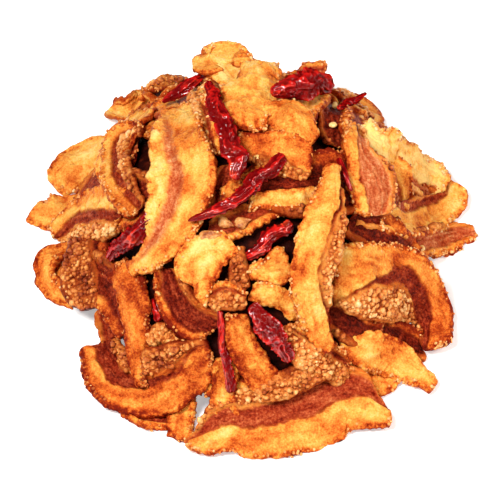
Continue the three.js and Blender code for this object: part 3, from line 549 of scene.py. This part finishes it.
def slice_relief(s, a, number, seed, granules, lumps, meat, border, rim):
    """Height of blisters on fat, fibres in meat, knobs of granules and crust along the rim."""
    blister = 0.6 * layered(s / 5.5, a / 3.8, seed) + 0.25 * noise(s / 1.5, a / 1.5, seed)
    blister = blister - 0.5 * (1 - np.minimum(1, 3 * np.abs(noise(s / 6, a / 3, seed + 11))))
    pimples = smoothstep(layered(s / 8, a / 8, seed + 5), -0.4, 0.4) * domes(s / 1.7, a / 1.7, number)
    fibre = 0.45 * noise(s / 5, a / 1.1, seed + 1) + 0.35 * noise(s / 1.3, a, seed + 2) - 0.7
    knobs = 1.2 * domes(s / 2, a / 2, number + 2) + 0.9 * noise(s / 5, a / 5, seed + 3)
    crust = 0.6 * domes(s / 1.15, a / 1.15, number + 4) - 0.15
    fat = (1 - granules - meat) * (blister + 1.5 * lumps * (knobs - 0.8) + 0.9 * pimples)
    return fat + meat * fibre + granules * knobs + rim * crust - 0.55 * border


def fine_slice(batch, number, row, to_point, facing_share, cell):
    """Adds one slice to a batch, and returns what is needed to strew granules and crumbs on it."""
    name, kind, rind, curl, (fat_tone, meat_tone, *end_tone), middle = row
    seed, wild = 31.7 * number, WILDNESS.get(kind, 1)
    rows = np.array([[*to_point(a, b, lift), width] for a, b, lift, width in middle])
    t, at, whole = evenly(rows, cell, END_ARC)
    end, width = np.minimum(at, whole - at), through(rows, t)[:, 3]
    place, along, facing, left = frames(rows, t, facing_share)
    roll = np.radians(ROLLS.get(name, 0) + 7 * noise(at / 28, 0, seed + 9))
    roll = (roll + lean_back(place, facing, left, width))[:, None]
    left, facing = turned(left, facing, roll)
    side, face, turn, v = across_loop(max(LEAST_COLUMNS, int(width.max() / cell)))
    s, on_rind = at[:, None] + 0 * v, v * rind > 0
    half, thick, thin_off = slice_outline(width, end, s, v, on_rind, wild, seed)

    # Curled about its middle line, with waves, folds and flared edges.
    edge = np.minimum(thick, 0.9 * half)
    inner = v * (1 - edge / half)
    curl = curl * (1 + 0.6 * noise(at / 22, 5, seed)) + 8 * noise(at / 16, 8, seed) + 0.01
    bend = np.radians(curl)[:, None]
    angle = bend * inner
    a = inner * half + side * edge * np.sin(turn)
    waves = 1.3 * noise(s / 15, a / 15, seed + 1) + 0.6 * noise(s / 6, a / 7, seed + 2)
    folds = 2.4 * (0.25 - np.abs(noise(s / 9, a / 14, seed + 13))) * (wild > 1)
    flare = 1.1 * wild * np.abs(v) ** 3 * noise(s / 5, 4 * np.sign(v), seed + 3)
    reach, rise = half * np.sin(angle) / bend, half * (1 - np.cos(angle)) / bend
    rise = rise + wild * waves + folds + flare
    left, facing = left[:, None], facing[:, None]
    out, up = turned(left, facing, angle[..., None])
    cos, sin = face * np.cos(turn), side * np.sin(turn)
    normal = up * cos[:, None] + out * sin[:, None]
    surface = (place[:, None] + left * reach[..., None] + facing * rise[..., None]
               + up * (cos * thick)[..., None] + out * (sin * edge)[..., None])

    # What each place is made of, and the relief that this gives it.
    c = (v * rind + 1) / 2 + 0.05 * noise(s / 7, 0, seed + 6) + 0.03 * noise(s / 1.8, a / 1.8, seed)
    granules, seam, meat, border = zone_shares(kind, at / whole, c, width[:, None])
    border = border * (0.6 + 0.6 * noise(s / 3, 0, seed + 7))
    from_edge = np.minimum((1 - np.abs(inner)) * half, end[:, None])
    rim = (1 - smoothstep(from_edge, *CRUST_REACH)) * (1 - granules - meat)
    lumps = 0 * granules
    if kind in SMOOTH_KINDS:
        granules, lumps, border = lumps, granules, 0.3 * border
    low = seed + 50 * (face < 0)
    relief = slice_relief(s, a, number, low, granules, lumps, meat, border, rim)
    relief = relief * np.minimum(1, 0.15 + thin_off)
    surface = surface + normal * relief[..., None]

    # Torn and slanting ends, and nothing under the table.
    shift = (0.8 * noise(a / 2.4, 0, seed + 8) - 0.2) * (1 - smoothstep(end, 1.5, 6))[:, None]
    for k, gap in enumerate((at, whole - at)):
        skew = 0.9 * (lattice(number, k, 5) - 0.5)
        shift = shift + skew * a * (1 - smoothstep(gap, 0, 9))[:, None]
    surface = surface + along[:, None] * shift[..., None]
    surface[..., 2] = np.maximum(surface[..., 2], np.where(face > 0, *ABOVE_TABLE))

    # 1 on the underside and rising round the edges towards it, where the material paints shade
    under = np.where(face > 0, smoothstep(np.sin(turn), 0.6, 1), 1) + 0 * rim
    tones = np.interp(at / whole, (0, 1), (fat_tone, *(end_tone or [fat_tone])))[:, None] + 0 * s
    batch.add(closed(surface), tube_faces(*s.shape), relief=with_tips(relief), tone=with_tips(tones),
              zones=with_tips(np.stack([granules, seam, meat], axis=-1)),
              flow=with_tips(np.stack([s, a, seed + 0 * s], axis=-1)),
              edges=with_tips(np.stack([rim, border, under], axis=-1)),
              meat_tone=np.full(s.size + 2, float(meat_tone)))
    upper = (face > 0) & (side == 0)
    crusty = rim * smoothstep(noise(s / 7, 0, seed + 12), -0.5, 0.3)
    grid = surface, normal, granules, np.stack([s, a], axis=-1)
    return ([part[:, upper] for part in grid],
            [part[:, (face > 0) & on_rind] for part in (surface, normal, crusty)])


# ---------------------------------------------------------------- granules of fried fat

GRANULE_RADIUS, CRUMB_RADIUS, CRUMB_SHARE = (0.65, 1.65), (0.4, 0.95), 0.15
ON_TABLE = 1  # nothing is strewn lower than this


def round_mesh(steps):
    """Corners and faces of a ball of radius 1, made of near-equal triangles."""
    ball = bmesh.new()
    bmesh.ops.create_icosphere(ball, subdivisions=steps, radius=1)
    points = np.array([v.co for v in ball.verts])
    faces = np.array([[v.index for v in f.verts] for f in ball.faces])
    ball.free()
    return points, faces


def strew_granules(batch, draw, grid, tone, spacing):
    """Sets lumpy balls, close together, on a slice's upper side where it is granular."""
    surface, normal, granules, flow = grid
    shape, faces = BALL
    s_low, a_low = flow.reshape(-1, 2).min(0)
    s_high, a_high = flow.reshape(-1, 2).max(0)
    across = np.arange(a_low, a_high, spacing)
    wanted = [(s, a + (i % 2) * spacing / 2)
              for i, s in enumerate(np.arange(s_low, s_high, spacing * 0.87)) for a in across]
    rows = flow[:, 0, 0]
    for s, a in np.array(wanted) + draw.uniform(-0.35, 0.35, (len(wanted), 2)) * spacing:
        i = int(np.clip(np.searchsorted(rows, s), 1, len(rows) - 2))
        j = int(np.argmin(np.abs(flow[i, :, 1] - a)))
        if abs(flow[i, j, 1] - a) > spacing or granules[i, j] < draw.uniform(0.4, 1.0):
            continue
        if surface[i, j, 2] < ON_TABLE:
            continue
        size = GRANULE_RADIUS[0] + (GRANULE_RADIUS[1] - GRANULE_RADIUS[0]) * draw.uniform() ** 2
        radii = size * draw.uniform(0.75, 1.2, 3)
        turn, _ = np.linalg.qr(draw.normal(size=(3, 3)))
        lumps = 1 + 0.3 * noise(*(shape * 1.5 + draw.uniform(0, 99, 3)).T)
        points = (shape * lumps[:, None] * radii) @ turn
        centre = surface[i, j] + normal[i, j] * size * draw.uniform(-0.5, 0.4)
        pale = 0.5 * tone - 0.15 + 0.8 * float(noise(*centre / 7)) + 0.4 * draw.uniform(-1, 1)
        # How far each point of the ball faces out from the slice, from which the material paints it
        # darker underneath and paler on top: painted shade and light.
        high = shape @ turn @ normal[i, j]
        batch.add(points + centre, [faces], high=high, tone=np.full(len(points), pale))


def crumb_edges(batch, draw, grid, tone):
    """Sets small beads along the crusty fat edges of a slice."""
    surface, normal, crusty = (part.reshape(-1, *part.shape[2:]) for part in grid)
    crusty = crusty * (surface[:, 2] > ON_TABLE)
    chosen = np.nonzero(draw.uniform(size=len(crusty)) < CRUMB_SHARE * crusty)[0]
    count = len(chosen)
    shape, faces = BALL_PLAIN
    sizes = draw.uniform(*CRUMB_RADIUS, (count, 1, 1)) * draw.uniform(0.8, 1.2, (count, 1, 3))
    centres = surface[chosen] + normal[chosen] * draw.uniform(-0.25, 0.25, (count, 1))
    points = shape[None] * sizes + centres[:, None]
    # How far each point of a bead faces out from the slice, from which the material paints it darker
    # underneath and paler on top: painted shade and light.
    high = (shape[None] * normal[chosen][:, None]).sum(-1)
    pale = 0.5 * tone + 0.1 + 0.5 * draw.uniform(-1, 1, (count, 1)) + 0 * high
    every = (faces[None] + len(shape) * np.arange(count)[:, None, None]).reshape(-1, 3)
    batch.add(points, [every], high=high.ravel(), tone=pale.ravel())


# ---------------------------------------------------------------- chillies, garlic and seeds

CHILLI_FLATNESS, CHILLI_SIDES, CHILLI_CELL, CHILLI_ENDS = 0.8, 64, 0.45, (1.2, 1.6)
GARLIC_FLATNESS, GARLIC_POINT, GARLIC_ROUGH, SEED_ROUGH = 0.45, 0.75, 0.3, 0.12


def chilli_mesh(number, middle, material):
    """A dried chilli: a tube drawn in between deep lengthwise folds and fine cross wrinkles."""
    name, seed = f"chilli_{number}", 13.1 * number
    rows = np.array([[*seen_at(a, b, lift), radius] for a, b, lift, radius in middle])
    t, at, whole = evenly(rows, CHILLI_CELL, CHILLI_ENDS[0])
    place, _, facing, left = frames(rows, t, FACING_SHARE)
    end = np.minimum(at, whole - at)[:, None]
    round_off = np.sqrt(np.maximum(1 - (1 - np.minimum(end / CHILLI_ENDS[1], 1)) ** 2, 0.0004))
    radius = through(rows, t)[:, 3][:, None] * round_off
    turn = np.linspace(0, 2 * math.pi, CHILLI_SIDES, endpoint=False)[None, :]
    s = at[:, None] + 0 * turn
    twist = turn + 0.5 * noise(s / 14, 0, seed)
    x, y = np.cos(twist), np.sin(twist)
    folds = np.abs(noise(1.5 * x + s / 30, 1.5 * y, seed + s / 12))
    net = np.abs(noise(2.6 * x + s / 9, 2.6 * y + 9, s / 2.5 + seed))
    fine = np.abs(noise(5 * x, 5 * y + 5, s / 1.6 + seed))
    depth = 0.6 * np.minimum(folds, 0.5) + 0.48 * np.minimum(net, 0.6) + 0.12 * fine
    shape = radius * (1.08 - depth * np.minimum(1, 0.45 + radius / 6))
    across = shape * np.cos(turn) + 0.35 * radius * noise(s / 8, 0, seed + 3)
    high = shape * np.sin(turn) * CHILLI_FLATNESS
    surface = place[:, None] + left[:, None] * across[..., None] + facing[:, None] * high[..., None]
    batch = Batch()
    batch.add(closed(surface), tube_faces(*s.shape), relief=with_tips(depth))
    batch.build(f"{name}_skin", material, "dried_chilli", name)


def drop(batch, place, size, heading, draw, pointed, rough):
    """A flattened, lumpy drop lying on its face, drawn in towards one end."""
    shape, faces = BALL_FINE
    lumps = 1 + rough * layered(*(shape * 1.5 + draw.uniform(0, 99, 3)).T)
    points = shape * lumps[:, None]
    points[:, 1:] *= 1 - pointed * smoothstep(shape[:, :1], -0.6, 1.0)
    points[:, 2] += rough * noise(points[:, 0] * 2.5, points[:, 1] * 2.5, draw.uniform(0, 99))
    points = points * np.array(size) / 2
    c, s = math.cos(math.radians(heading)), math.sin(math.radians(heading))
    points = points @ np.array([[c, s, 0], [-s, c, 0], [0, 0, 1]])
    place = np.array(seen_at(*place))
    facing = mound_normal(place[None])[0] * (1 - FACING_SHARE) + TOWARDS_FRONT * FACING_SHARE
    upright = Vector((0, 0, 1)).rotation_difference(Vector(facing)).to_matrix()
    batch.add(points @ np.array(upright).T + place, [faces])


CORE_FOOT, CORE_TOP, CORE_DEPTH, CORE_RINGS, CORE_SECTORS = 0.86, 0.02, 2.5, 70, 220


def core_piece(material):
    """The mound under the slices, a little smaller than in the CAD model, rough and painted near black as
    the shade deep in the heap.
    """
    share = CORE_FOOT * np.linspace(1, CORE_TOP, CORE_RINGS)[:, None]
    turn = np.linspace(0, 2 * math.pi, CORE_SECTORS, endpoint=False)[None, :]
    x = share * HALF_WIDTH * np.cos(turn)
    y = MIDDLE + share * HALF_DEPTH * np.sin(turn)
    z = mound_height(x, y) - CORE_DEPTH
    z = z + 2.2 * layered(x / 13, y / 13, 3.0) + 0.9 * np.abs(noise(x / 4, y / 4, 9.0))
    foot = np.stack([x[:1], y[:1], 0 * x[:1]], axis=-1)
    surface = np.concatenate([foot, np.stack([x, y, np.maximum(z, 0)], axis=-1)])
    batch = Batch()
    batch.add(closed(surface), tube_faces(*surface.shape[:2]))
    batch.build("under_meat", material, "fried_pork", "pork_heap")


# ---------------------------------------------------------------- materials


def linear(color):
    """The linear colour of a screen colour written as six hexadecimal digits, or what it is."""
    if not isinstance(color, str):
        return color
    parts = [int(color[i:i + 2], 16) / 255 for i in (0, 2, 4)]
    return tuple(c / 12.92 if c < 0.04045 else ((c + 0.055) / 1.055) ** 2.4 for c in parts)


class Nodes:
    """A material's node graph, written as nested calls."""

    def __init__(self, name):
        self.material = bpy.data.materials.new(name)
        self.material.use_nodes = True
        self.tree = self.material.node_tree
        self.shader = self.tree.nodes["Principled BSDF"]
        self.where = self.scaled(self.add("TexCoord", 3), 1 / MM)

    def add(self, kind, output=0, settings=None, **inputs):
        """A new node's output. Inputs go by name, or by number after an underscore."""
        node = self.tree.nodes.new("ShaderNode" + kind)
        for key, value in (settings or {}).items():
            setattr(node, key, value)
        for key, value in inputs.items():
            socket = node.inputs[int(key[1:])] if key[0] == "_" else node.inputs[key.replace("_", " ")]
            self.put(socket, value)
        return node.outputs[output]

    def put(self, socket, value):
        if isinstance(value, bpy.types.NodeSocket):
            self.tree.links.new(value, socket)
        elif isinstance(value, tuple) and len(value) == 3 and socket.type == "RGBA":
            socket.default_value = (*value, 1)
        else:
            socket.default_value = value

    def value(self, name):
        return self.add("Attribute", 2, {"attribute_name": name})

    def vector(self, name):
        return self.add("Attribute", 1, {"attribute_name": name})

    def parts(self, name):
        """The three numbers of a vector that the mesh carries."""
        return self.add("SeparateXYZ", 0, {}, _0=self.vector(name)).node.outputs

    def math(self, operation, a, b):
        return self.add("Math", 0, {"operation": operation}, _0=a, _1=b)

    def times(self, a, factor):
        return self.math("MULTIPLY", a, factor)

    def total(self, first, *others):
        for other in others:
            first = self.math("ADD", first, other)
        return first

    def scaled(self, vector, scale):
        """A vector times one number, or times a number for each direction."""
        factors = scale if isinstance(scale, tuple) else (scale,) * 3
        return self.add("VectorMath", 0, {"operation": "MULTIPLY"}, _0=vector, _1=factors)

    def noise(self, scale, detail=3.0, rough=0.55, vector=None):
        """Noise over the place in millimetres, or over another vector."""
        return self.add("TexNoise", 0, {}, Vector=self.scaled(vector or self.where, scale), Scale=1.0,
                        Detail=detail, Roughness=rough)

    def sway(self, share, *noise):
        """Noise about zero, with that share of its full reach."""
        return self.times(self.math("SUBTRACT", self.noise(*noise), 0.5), share)

    def spots(self, scale):
        return self.add("TexVoronoi", 0, {}, Vector=self.scaled(self.where, scale), Scale=1.0)

    def span(self, value, low, high, to_low=0.0, to_high=1.0):
        return self.add("MapRange", 0, {"interpolation_type": "SMOOTHSTEP"}, Value=value,
                        From_Min=low, From_Max=high, To_Min=to_low, To_Max=to_high)

    def ramp(self, value, *stops):
        """The colour at a value between stops, each a place and a screen or linear colour."""
        node = self.tree.nodes.new("ShaderNodeValToRGB")
        band = node.color_ramp
        while len(band.elements) < len(stops):
            band.elements.new(0.5)
        for element, (place, color) in zip(band.elements, stops):
            element.position, element.color = place, (*linear(color), 1)
        self.tree.links.new(value, node.inputs[0])
        return node.outputs[0]

    def mix(self, share, a, b, how="MIX"):
        node = self.tree.nodes.new("ShaderNodeMix")
        node.data_type, node.blend_type = "RGBA", how
        self.put(node.inputs[0], share)
        self.put(node.inputs[6], a)
        self.put(node.inputs[7], linear(b))
        return node.outputs[2]

    def multiplied(self, a, b):
        return self.mix(1.0, a, b, "MULTIPLY")

    def finish(self, color, rough, height, distance, strength, **uniform):
        """Puts colour, roughness and relief on the shader, and plain numbers on its own sockets."""
        self.put(self.shader.inputs["Base Color"], color)
        self.put(self.shader.inputs["Roughness"], rough)
        bump = self.add("Bump", 0, {}, Height=height, Distance=distance, Strength=strength)
        self.put(self.shader.inputs["Normal"], bump)
        for key, value in uniform.items():
            self.shader.inputs[key.replace("_", " ")].default_value = value
        return self.material


def fat_color(n, flow, tone, rim, relief):
    """Fried fat: from orange-brown to gold, with painted light on bumps and painted shade in dips, and
    browner towards its crusty edges.
    """
    browned = n.math("MULTIPLY", rim, n.span(n.noise(0.4), 0.3, 0.7, -0.42, -0.1))
    # The relief term paints light on raised bumps and shade in dips.
    pale = n.total(0.5, n.times(tone, 0.2), n.sway(1.0, (0.06, 0.13, 1), 2, 0.5, flow),
                   n.sway(0.35, 0.4, 3, 0.6), n.sway(0.75, 1.1, 3, 0.7),
                   browned, n.times(relief, 0.16))
    return n.ramp(pale, (0.05, "7A1E0A"), (0.22, "AE4014"), (0.38, "D96C26"), (0.54, "F1953D"),
                  (0.70, "FAB654"), (0.92, "FFD582"))


def meat_color(n, flow, tone):
    """Fried meat: red-brown, with fibres along the slice, patches and a gritty surface."""
    pale = n.total(0.5, n.times(tone, 0.25), n.sway(0.6, (0.12, 0.6, 1), 3, 0.6, flow),
                   n.sway(0.5, 0.2, 2, 0.5), n.sway(1.1, 0.9, 3, 0.7))
    return n.ramp(pale, (0.05, "400E06"), (0.25, "7A2412"), (0.45, "AC4626"), (0.60, "CC663A"),
                  (0.78, "E29058"), (0.95, "F4BC84"))


def granule_color(n, tone):
    """Granules of fried fat: from dark brown to cream, fed with their height, so that the dark between
    them is painted shade and the cream on top painted light.
    """
    pale = n.total(0.48, n.times(tone, 0.25), n.sway(0.8, 0.5))
    return n.ramp(pale, (0.05, "521408"), (0.25, "943A16"), (0.42, "C4662A"), (0.58, "E8964A"),
                  (0.76, "F6C27C"), (0.95, "FCE2B2"))


def pork_material():
    """Fat, seam, meat and granules by the slices' zones, with painted shade in creases, in the groove
    along the meat's border and underneath.
    """
    n = Nodes("fried_pork_belly")
    flow, tone, relief = n.vector("flow"), n.value("tone"), n.value("relief")
    granules, seam, meat = n.parts("zones")
    rim, border, under = n.parts("edges")
    color = fat_color(n, flow, tone, rim, relief)
    seam_pale = n.total(n.noise((0.2, 0.8, 1), vector=flow), n.times(tone, 0.2))
    color = n.mix(seam, color, n.ramp(seam_pale, (0.30, "B04A18"), (0.50, "DC7A2C"), (0.70, "F0A850")))
    color = n.mix(meat, color, meat_color(n, flow, n.value("meat_tone")))
    # Painted shade in the groove along the meat's border.
    color = n.mix(n.times(border, 0.55), color, "6A1E10")
    # Granules on the slices are paler on their knobs and darker between them by relief: painted light and
    # shade.
    granule_tone_and_shade = n.total(n.times(tone, 0.5), relief, -1.3)
    color = n.mix(granules, color, granule_color(n, granule_tone_and_shade))
    # Painted shade in the slices' dips and creases.
    color = n.mix(n.span(relief, 0.0, -1.0, 0.0, 0.7), color, n.multiplied(color, "C06030"))
    # Painted shade on the undersides and round the edges towards them.
    color = n.mix(n.times(under, 0.75), color, n.multiplied(color, "B04A26"))
    bumps = n.total(n.times(n.spots(0.9), -0.32), n.times(n.noise(0.6, 4, 0.6), 0.4),
                    n.times(n.noise(1.7, 3, 0.7), 0.35))
    rough = n.span(n.noise(0.5), 0.35, 0.7, 0.32, 0.6)
    return n.finish(color, rough, bumps, 0.001, 1.0, Specular_IOR_Level=0.04, Subsurface_Weight=0.15,
                    Subsurface_Radius=(1.0, 0.35, 0.12), Subsurface_Scale=0.0015)


def granule_material():
    n = Nodes("fried_granules")
    # Paler on top and darker underneath, by how far each point faces up: painted light and shade.
    tone = n.total(n.value("tone"), n.value("high"), -0.3)
    bumps = n.times(n.noise(1.4, 3, 0.7), 0.5)
    return n.finish(granule_color(n, tone), 0.3, bumps, 0.001, 0.8, Specular_IOR_Level=0.2)


def core_material():
    n = Nodes("painted_shade_under_meat")
    # Near-black red-brown: painted shade that stands for the dark gaps deep in the heap.
    color = n.ramp(n.noise((0.12, 0.3, 0.2), 4, 0.6),
                   (0.35, "180403"), (0.55, "300A05"), (0.75, "5A1C0C"))
    return n.finish(color, 0.5, n.noise(0.7, 5, 0.7), 0.001, 0.8, Specular_IOR_Level=0.05)


def chilli_material():
    """Dried chilli skin: red, with painted shade in its creases, and glossy on the ridges that face the
    eye.
    """
    n = Nodes("dried_chilli_skin")
    relief = n.value("relief")
    color = n.ramp(n.noise(0.14), (0.32, "8E0609"), (0.46, "C2110F"), (0.6, "DA2217"),
                   (0.78, "EC562A"))
    # Painted shade in the creases.
    color = n.mix(n.span(relief, 0.1, 0.34, 0.0, 0.8), color, "520206")
    bumps = n.times(n.noise(0.7, 2, 0.5), 0.3)
    facing = n.span(n.add("LayerWeight", 1, {}, Blend=0.5), 0.25, 0.6, 1.0, 0.0)
    gloss = n.math("MULTIPLY", facing, n.span(relief, 0.15, 0.42, 0.9, 0.2))
    n.put(n.shader.inputs["Specular IOR Level"], gloss)
    return n.finish(color, 0.14, bumps, 0.001, 0.4)


def garlic_material():
    n = Nodes("fried_garlic_flesh")
    color = n.ramp(n.noise(0.4, 4), (0.3, "8A3E16"), (0.45, "B86A30"), (0.6, "DC9850"),
                   (0.75, "F2C88C"))
    return n.finish(color, 0.35, n.noise(0.9, 4), 0.001, 0.7)


def seed_material():
    n = Nodes("chilli_seed_skin")
    color = n.ramp(n.noise(0.5), (0.3, "E2A848"), (0.6, "F4D088"))
    return n.finish(color, 0.35, n.noise(2.0), 0.0003, 0.4)


GLOW, GLOW_FADE = 0.4, (130, 300)  # the table's, and how far from the heap's middle it fades


def floor_material():
    """A white table that glows a little round the heap, so that shadows on it stay pale."""
    n = Nodes("white_table")
    color = n.ramp(n.noise(0.01), (0.3, (0.93, 0.93, 0.94)), (0.7, (0.95, 0.95, 0.96)))
    away = n.add("VectorMath", 1, {"operation": "LENGTH"}, _0=n.where)
    n.put(n.shader.inputs["Emission Strength"], n.span(away, *GLOW_FADE, GLOW, 0.0))
    return n.finish(color, 0.7, n.noise(0.5, 2), 0.0001, 0.1, Emission_Color=(1, 1, 1, 1))


# ---------------------------------------------------------------- the heap

# How slices are laid, with the size of their mesh's cells and how far apart granules are.
SHOWN = dict(to_point=seen_at, facing_share=FACING_SHARE, cell=0.64, spacing=1.95)
HIDDEN = dict(to_point=in_plan, facing_share=0, cell=1.1, spacing=2.4)
SHOWN_MESHES = 4
FIRST_HIDDEN = 60  # number of the first slice behind, so that its noise is its own

BALL_PLAIN, BALL, BALL_FINE = round_mesh(1), round_mesh(2), round_mesh(4)
draw = np.random.default_rng(7)
granule_batch, crumb_batch, back_batch = Batch(), Batch(), Batch()
shown_batches = [Batch() for _ in range(SHOWN_MESHES)]


def add_slices(rows, batches, first, to_point, facing_share, cell, spacing):
    """Adds slices to the batches in turn, with granules and crumbs on them."""
    for number, row in enumerate(rows):
        batch, fat_tone = batches[number % len(batches)], row[4][0]
        top, edge = fine_slice(batch, first + number, row, to_point, facing_share, cell)
        strew_granules(granule_batch, draw, top, fat_tone, spacing)
        crumb_edges(crumb_batch, draw, edge, fat_tone)


add_slices(SLICES, shown_batches, 0, **SHOWN)
skirt = [skirt_slice(i) for i in range(SKIRT["count"])]
tongues = [tongue_slice(i) for i in range(TONGUES["count"])]
add_slices(BACK_SLICES + skirt + tongues, [back_batch], FIRST_HIDDEN, **HIDDEN)

pork, beads = pork_material(), granule_material()
for number, batch in enumerate(shown_batches):
    batch.build(f"belly_slices_{number + 1}", pork, "fried_pork", "pork_heap")
back_batch.build("belly_slices_behind", pork, "fried_pork", "pork_heap")
granule_batch.build("fried_granules", beads, "fried_pork", "pork_heap")
crumb_batch.build("crusty_edges", beads, "fried_pork", "pork_heap")
core_piece(core_material())

skin = chilli_material()
for number, middle in enumerate(CHILLIES, 1):
    chilli_mesh(number, middle, skin)

clove = garlic_material()
for number, (across, up, lift, length, width, heading) in enumerate(GARLIC, 1):
    batch = Batch()
    size = length, width, GARLIC_FLATNESS * width
    drop(batch, (across, up, lift), size, heading, draw, GARLIC_POINT, GARLIC_ROUGH)
    batch.build(f"garlic_{number}_bit", clove, "fried_garlic", f"garlic_{number}")

seeds = Batch()
for across, up, lift, heading in SEEDS:
    drop(seeds, (across, up, lift), SEED_SIZE, heading, draw, 0, SEED_ROUGH)
seeds.build("chilli_seeds", seed_material(), "dried_chilli", "pork_heap")

# ---------------------------------------------------------------- table, light and camera

TABLE_SIZE = 12  # metres, as all places and sizes from here on

bpy.ops.mesh.primitive_plane_add(size=TABLE_SIZE)
table = bpy.context.object
table.name = "white_table"
table.data.materials.append(floor_material())


LIGHT_SIZE, WARM = 0.45, (1.0, 0.88, 0.78)


def soft_light(name, place, power, color):
    """A square light that faces the heap and isn't seen itself."""
    data = bpy.data.lights.new(name, "AREA")
    data.size, data.energy, data.color = LIGHT_SIZE, power, color
    light = bpy.data.objects.new(name, data)
    light.location = place
    light.rotation_euler = (-Vector(place)).to_track_quat("-Z", "Y").to_euler()
    light.visible_camera = False
    bpy.context.scene.collection.objects.link(light)


soft_light("window_light", (-0.5, -0.35, 1.3), 25, (1.0, 0.98, 0.95))
soft_light("right_light", (0.95, -0.1, 0.9), 9, WARM)
soft_light("front_light", (0.3, -1.0, 0.8), 2.5, WARM)

world = bpy.data.worlds.new("pale_room")
world.use_nodes = True
background = world.node_tree.nodes["Background"].inputs
background["Color"].default_value = (1, 1, 1, 1)
background["Strength"].default_value = 0.05
bpy.context.scene.world = world
bpy.context.scene.view_settings.view_transform = "Standard"

# The photo is 500 pixels wide and shows 0.225 m at the heap, a little nearer than the origin, which
# lies 3 pixels right of the photo's middle and 17 below it.
PHOTO_WIDTH, PHOTO_SPAN, ORIGIN_RIGHT, ORIGIN_BELOW = 500, 0.225, 3, 17
CAMERA_DISTANCE, NEARER, SENSOR, FARTHEST = 6.0, 0.03, 36.0, 50
pixel = PHOTO_SPAN / PHOTO_WIDTH
back = Vector(TOWARDS_FRONT)
view_up = Vector((0, sight_sin, sight_cos))
aim = Vector((-ORIGIN_RIGHT * pixel, 0, 0)) + view_up * ORIGIN_BELOW * pixel
lens = bpy.data.cameras.new("photo_camera")
lens.sensor_width = SENSOR
lens.lens = SENSOR * (CAMERA_DISTANCE - NEARER) / PHOTO_SPAN
lens.clip_end = FARTHEST
camera = bpy.data.objects.new("photo_camera", lens)
camera.location = aim + back * CAMERA_DISTANCE
camera.rotation_euler = back.to_track_quat("Z", "Y").to_euler()
bpy.context.scene.collection.objects.link(camera)
bpy.context.scene.camera = camera
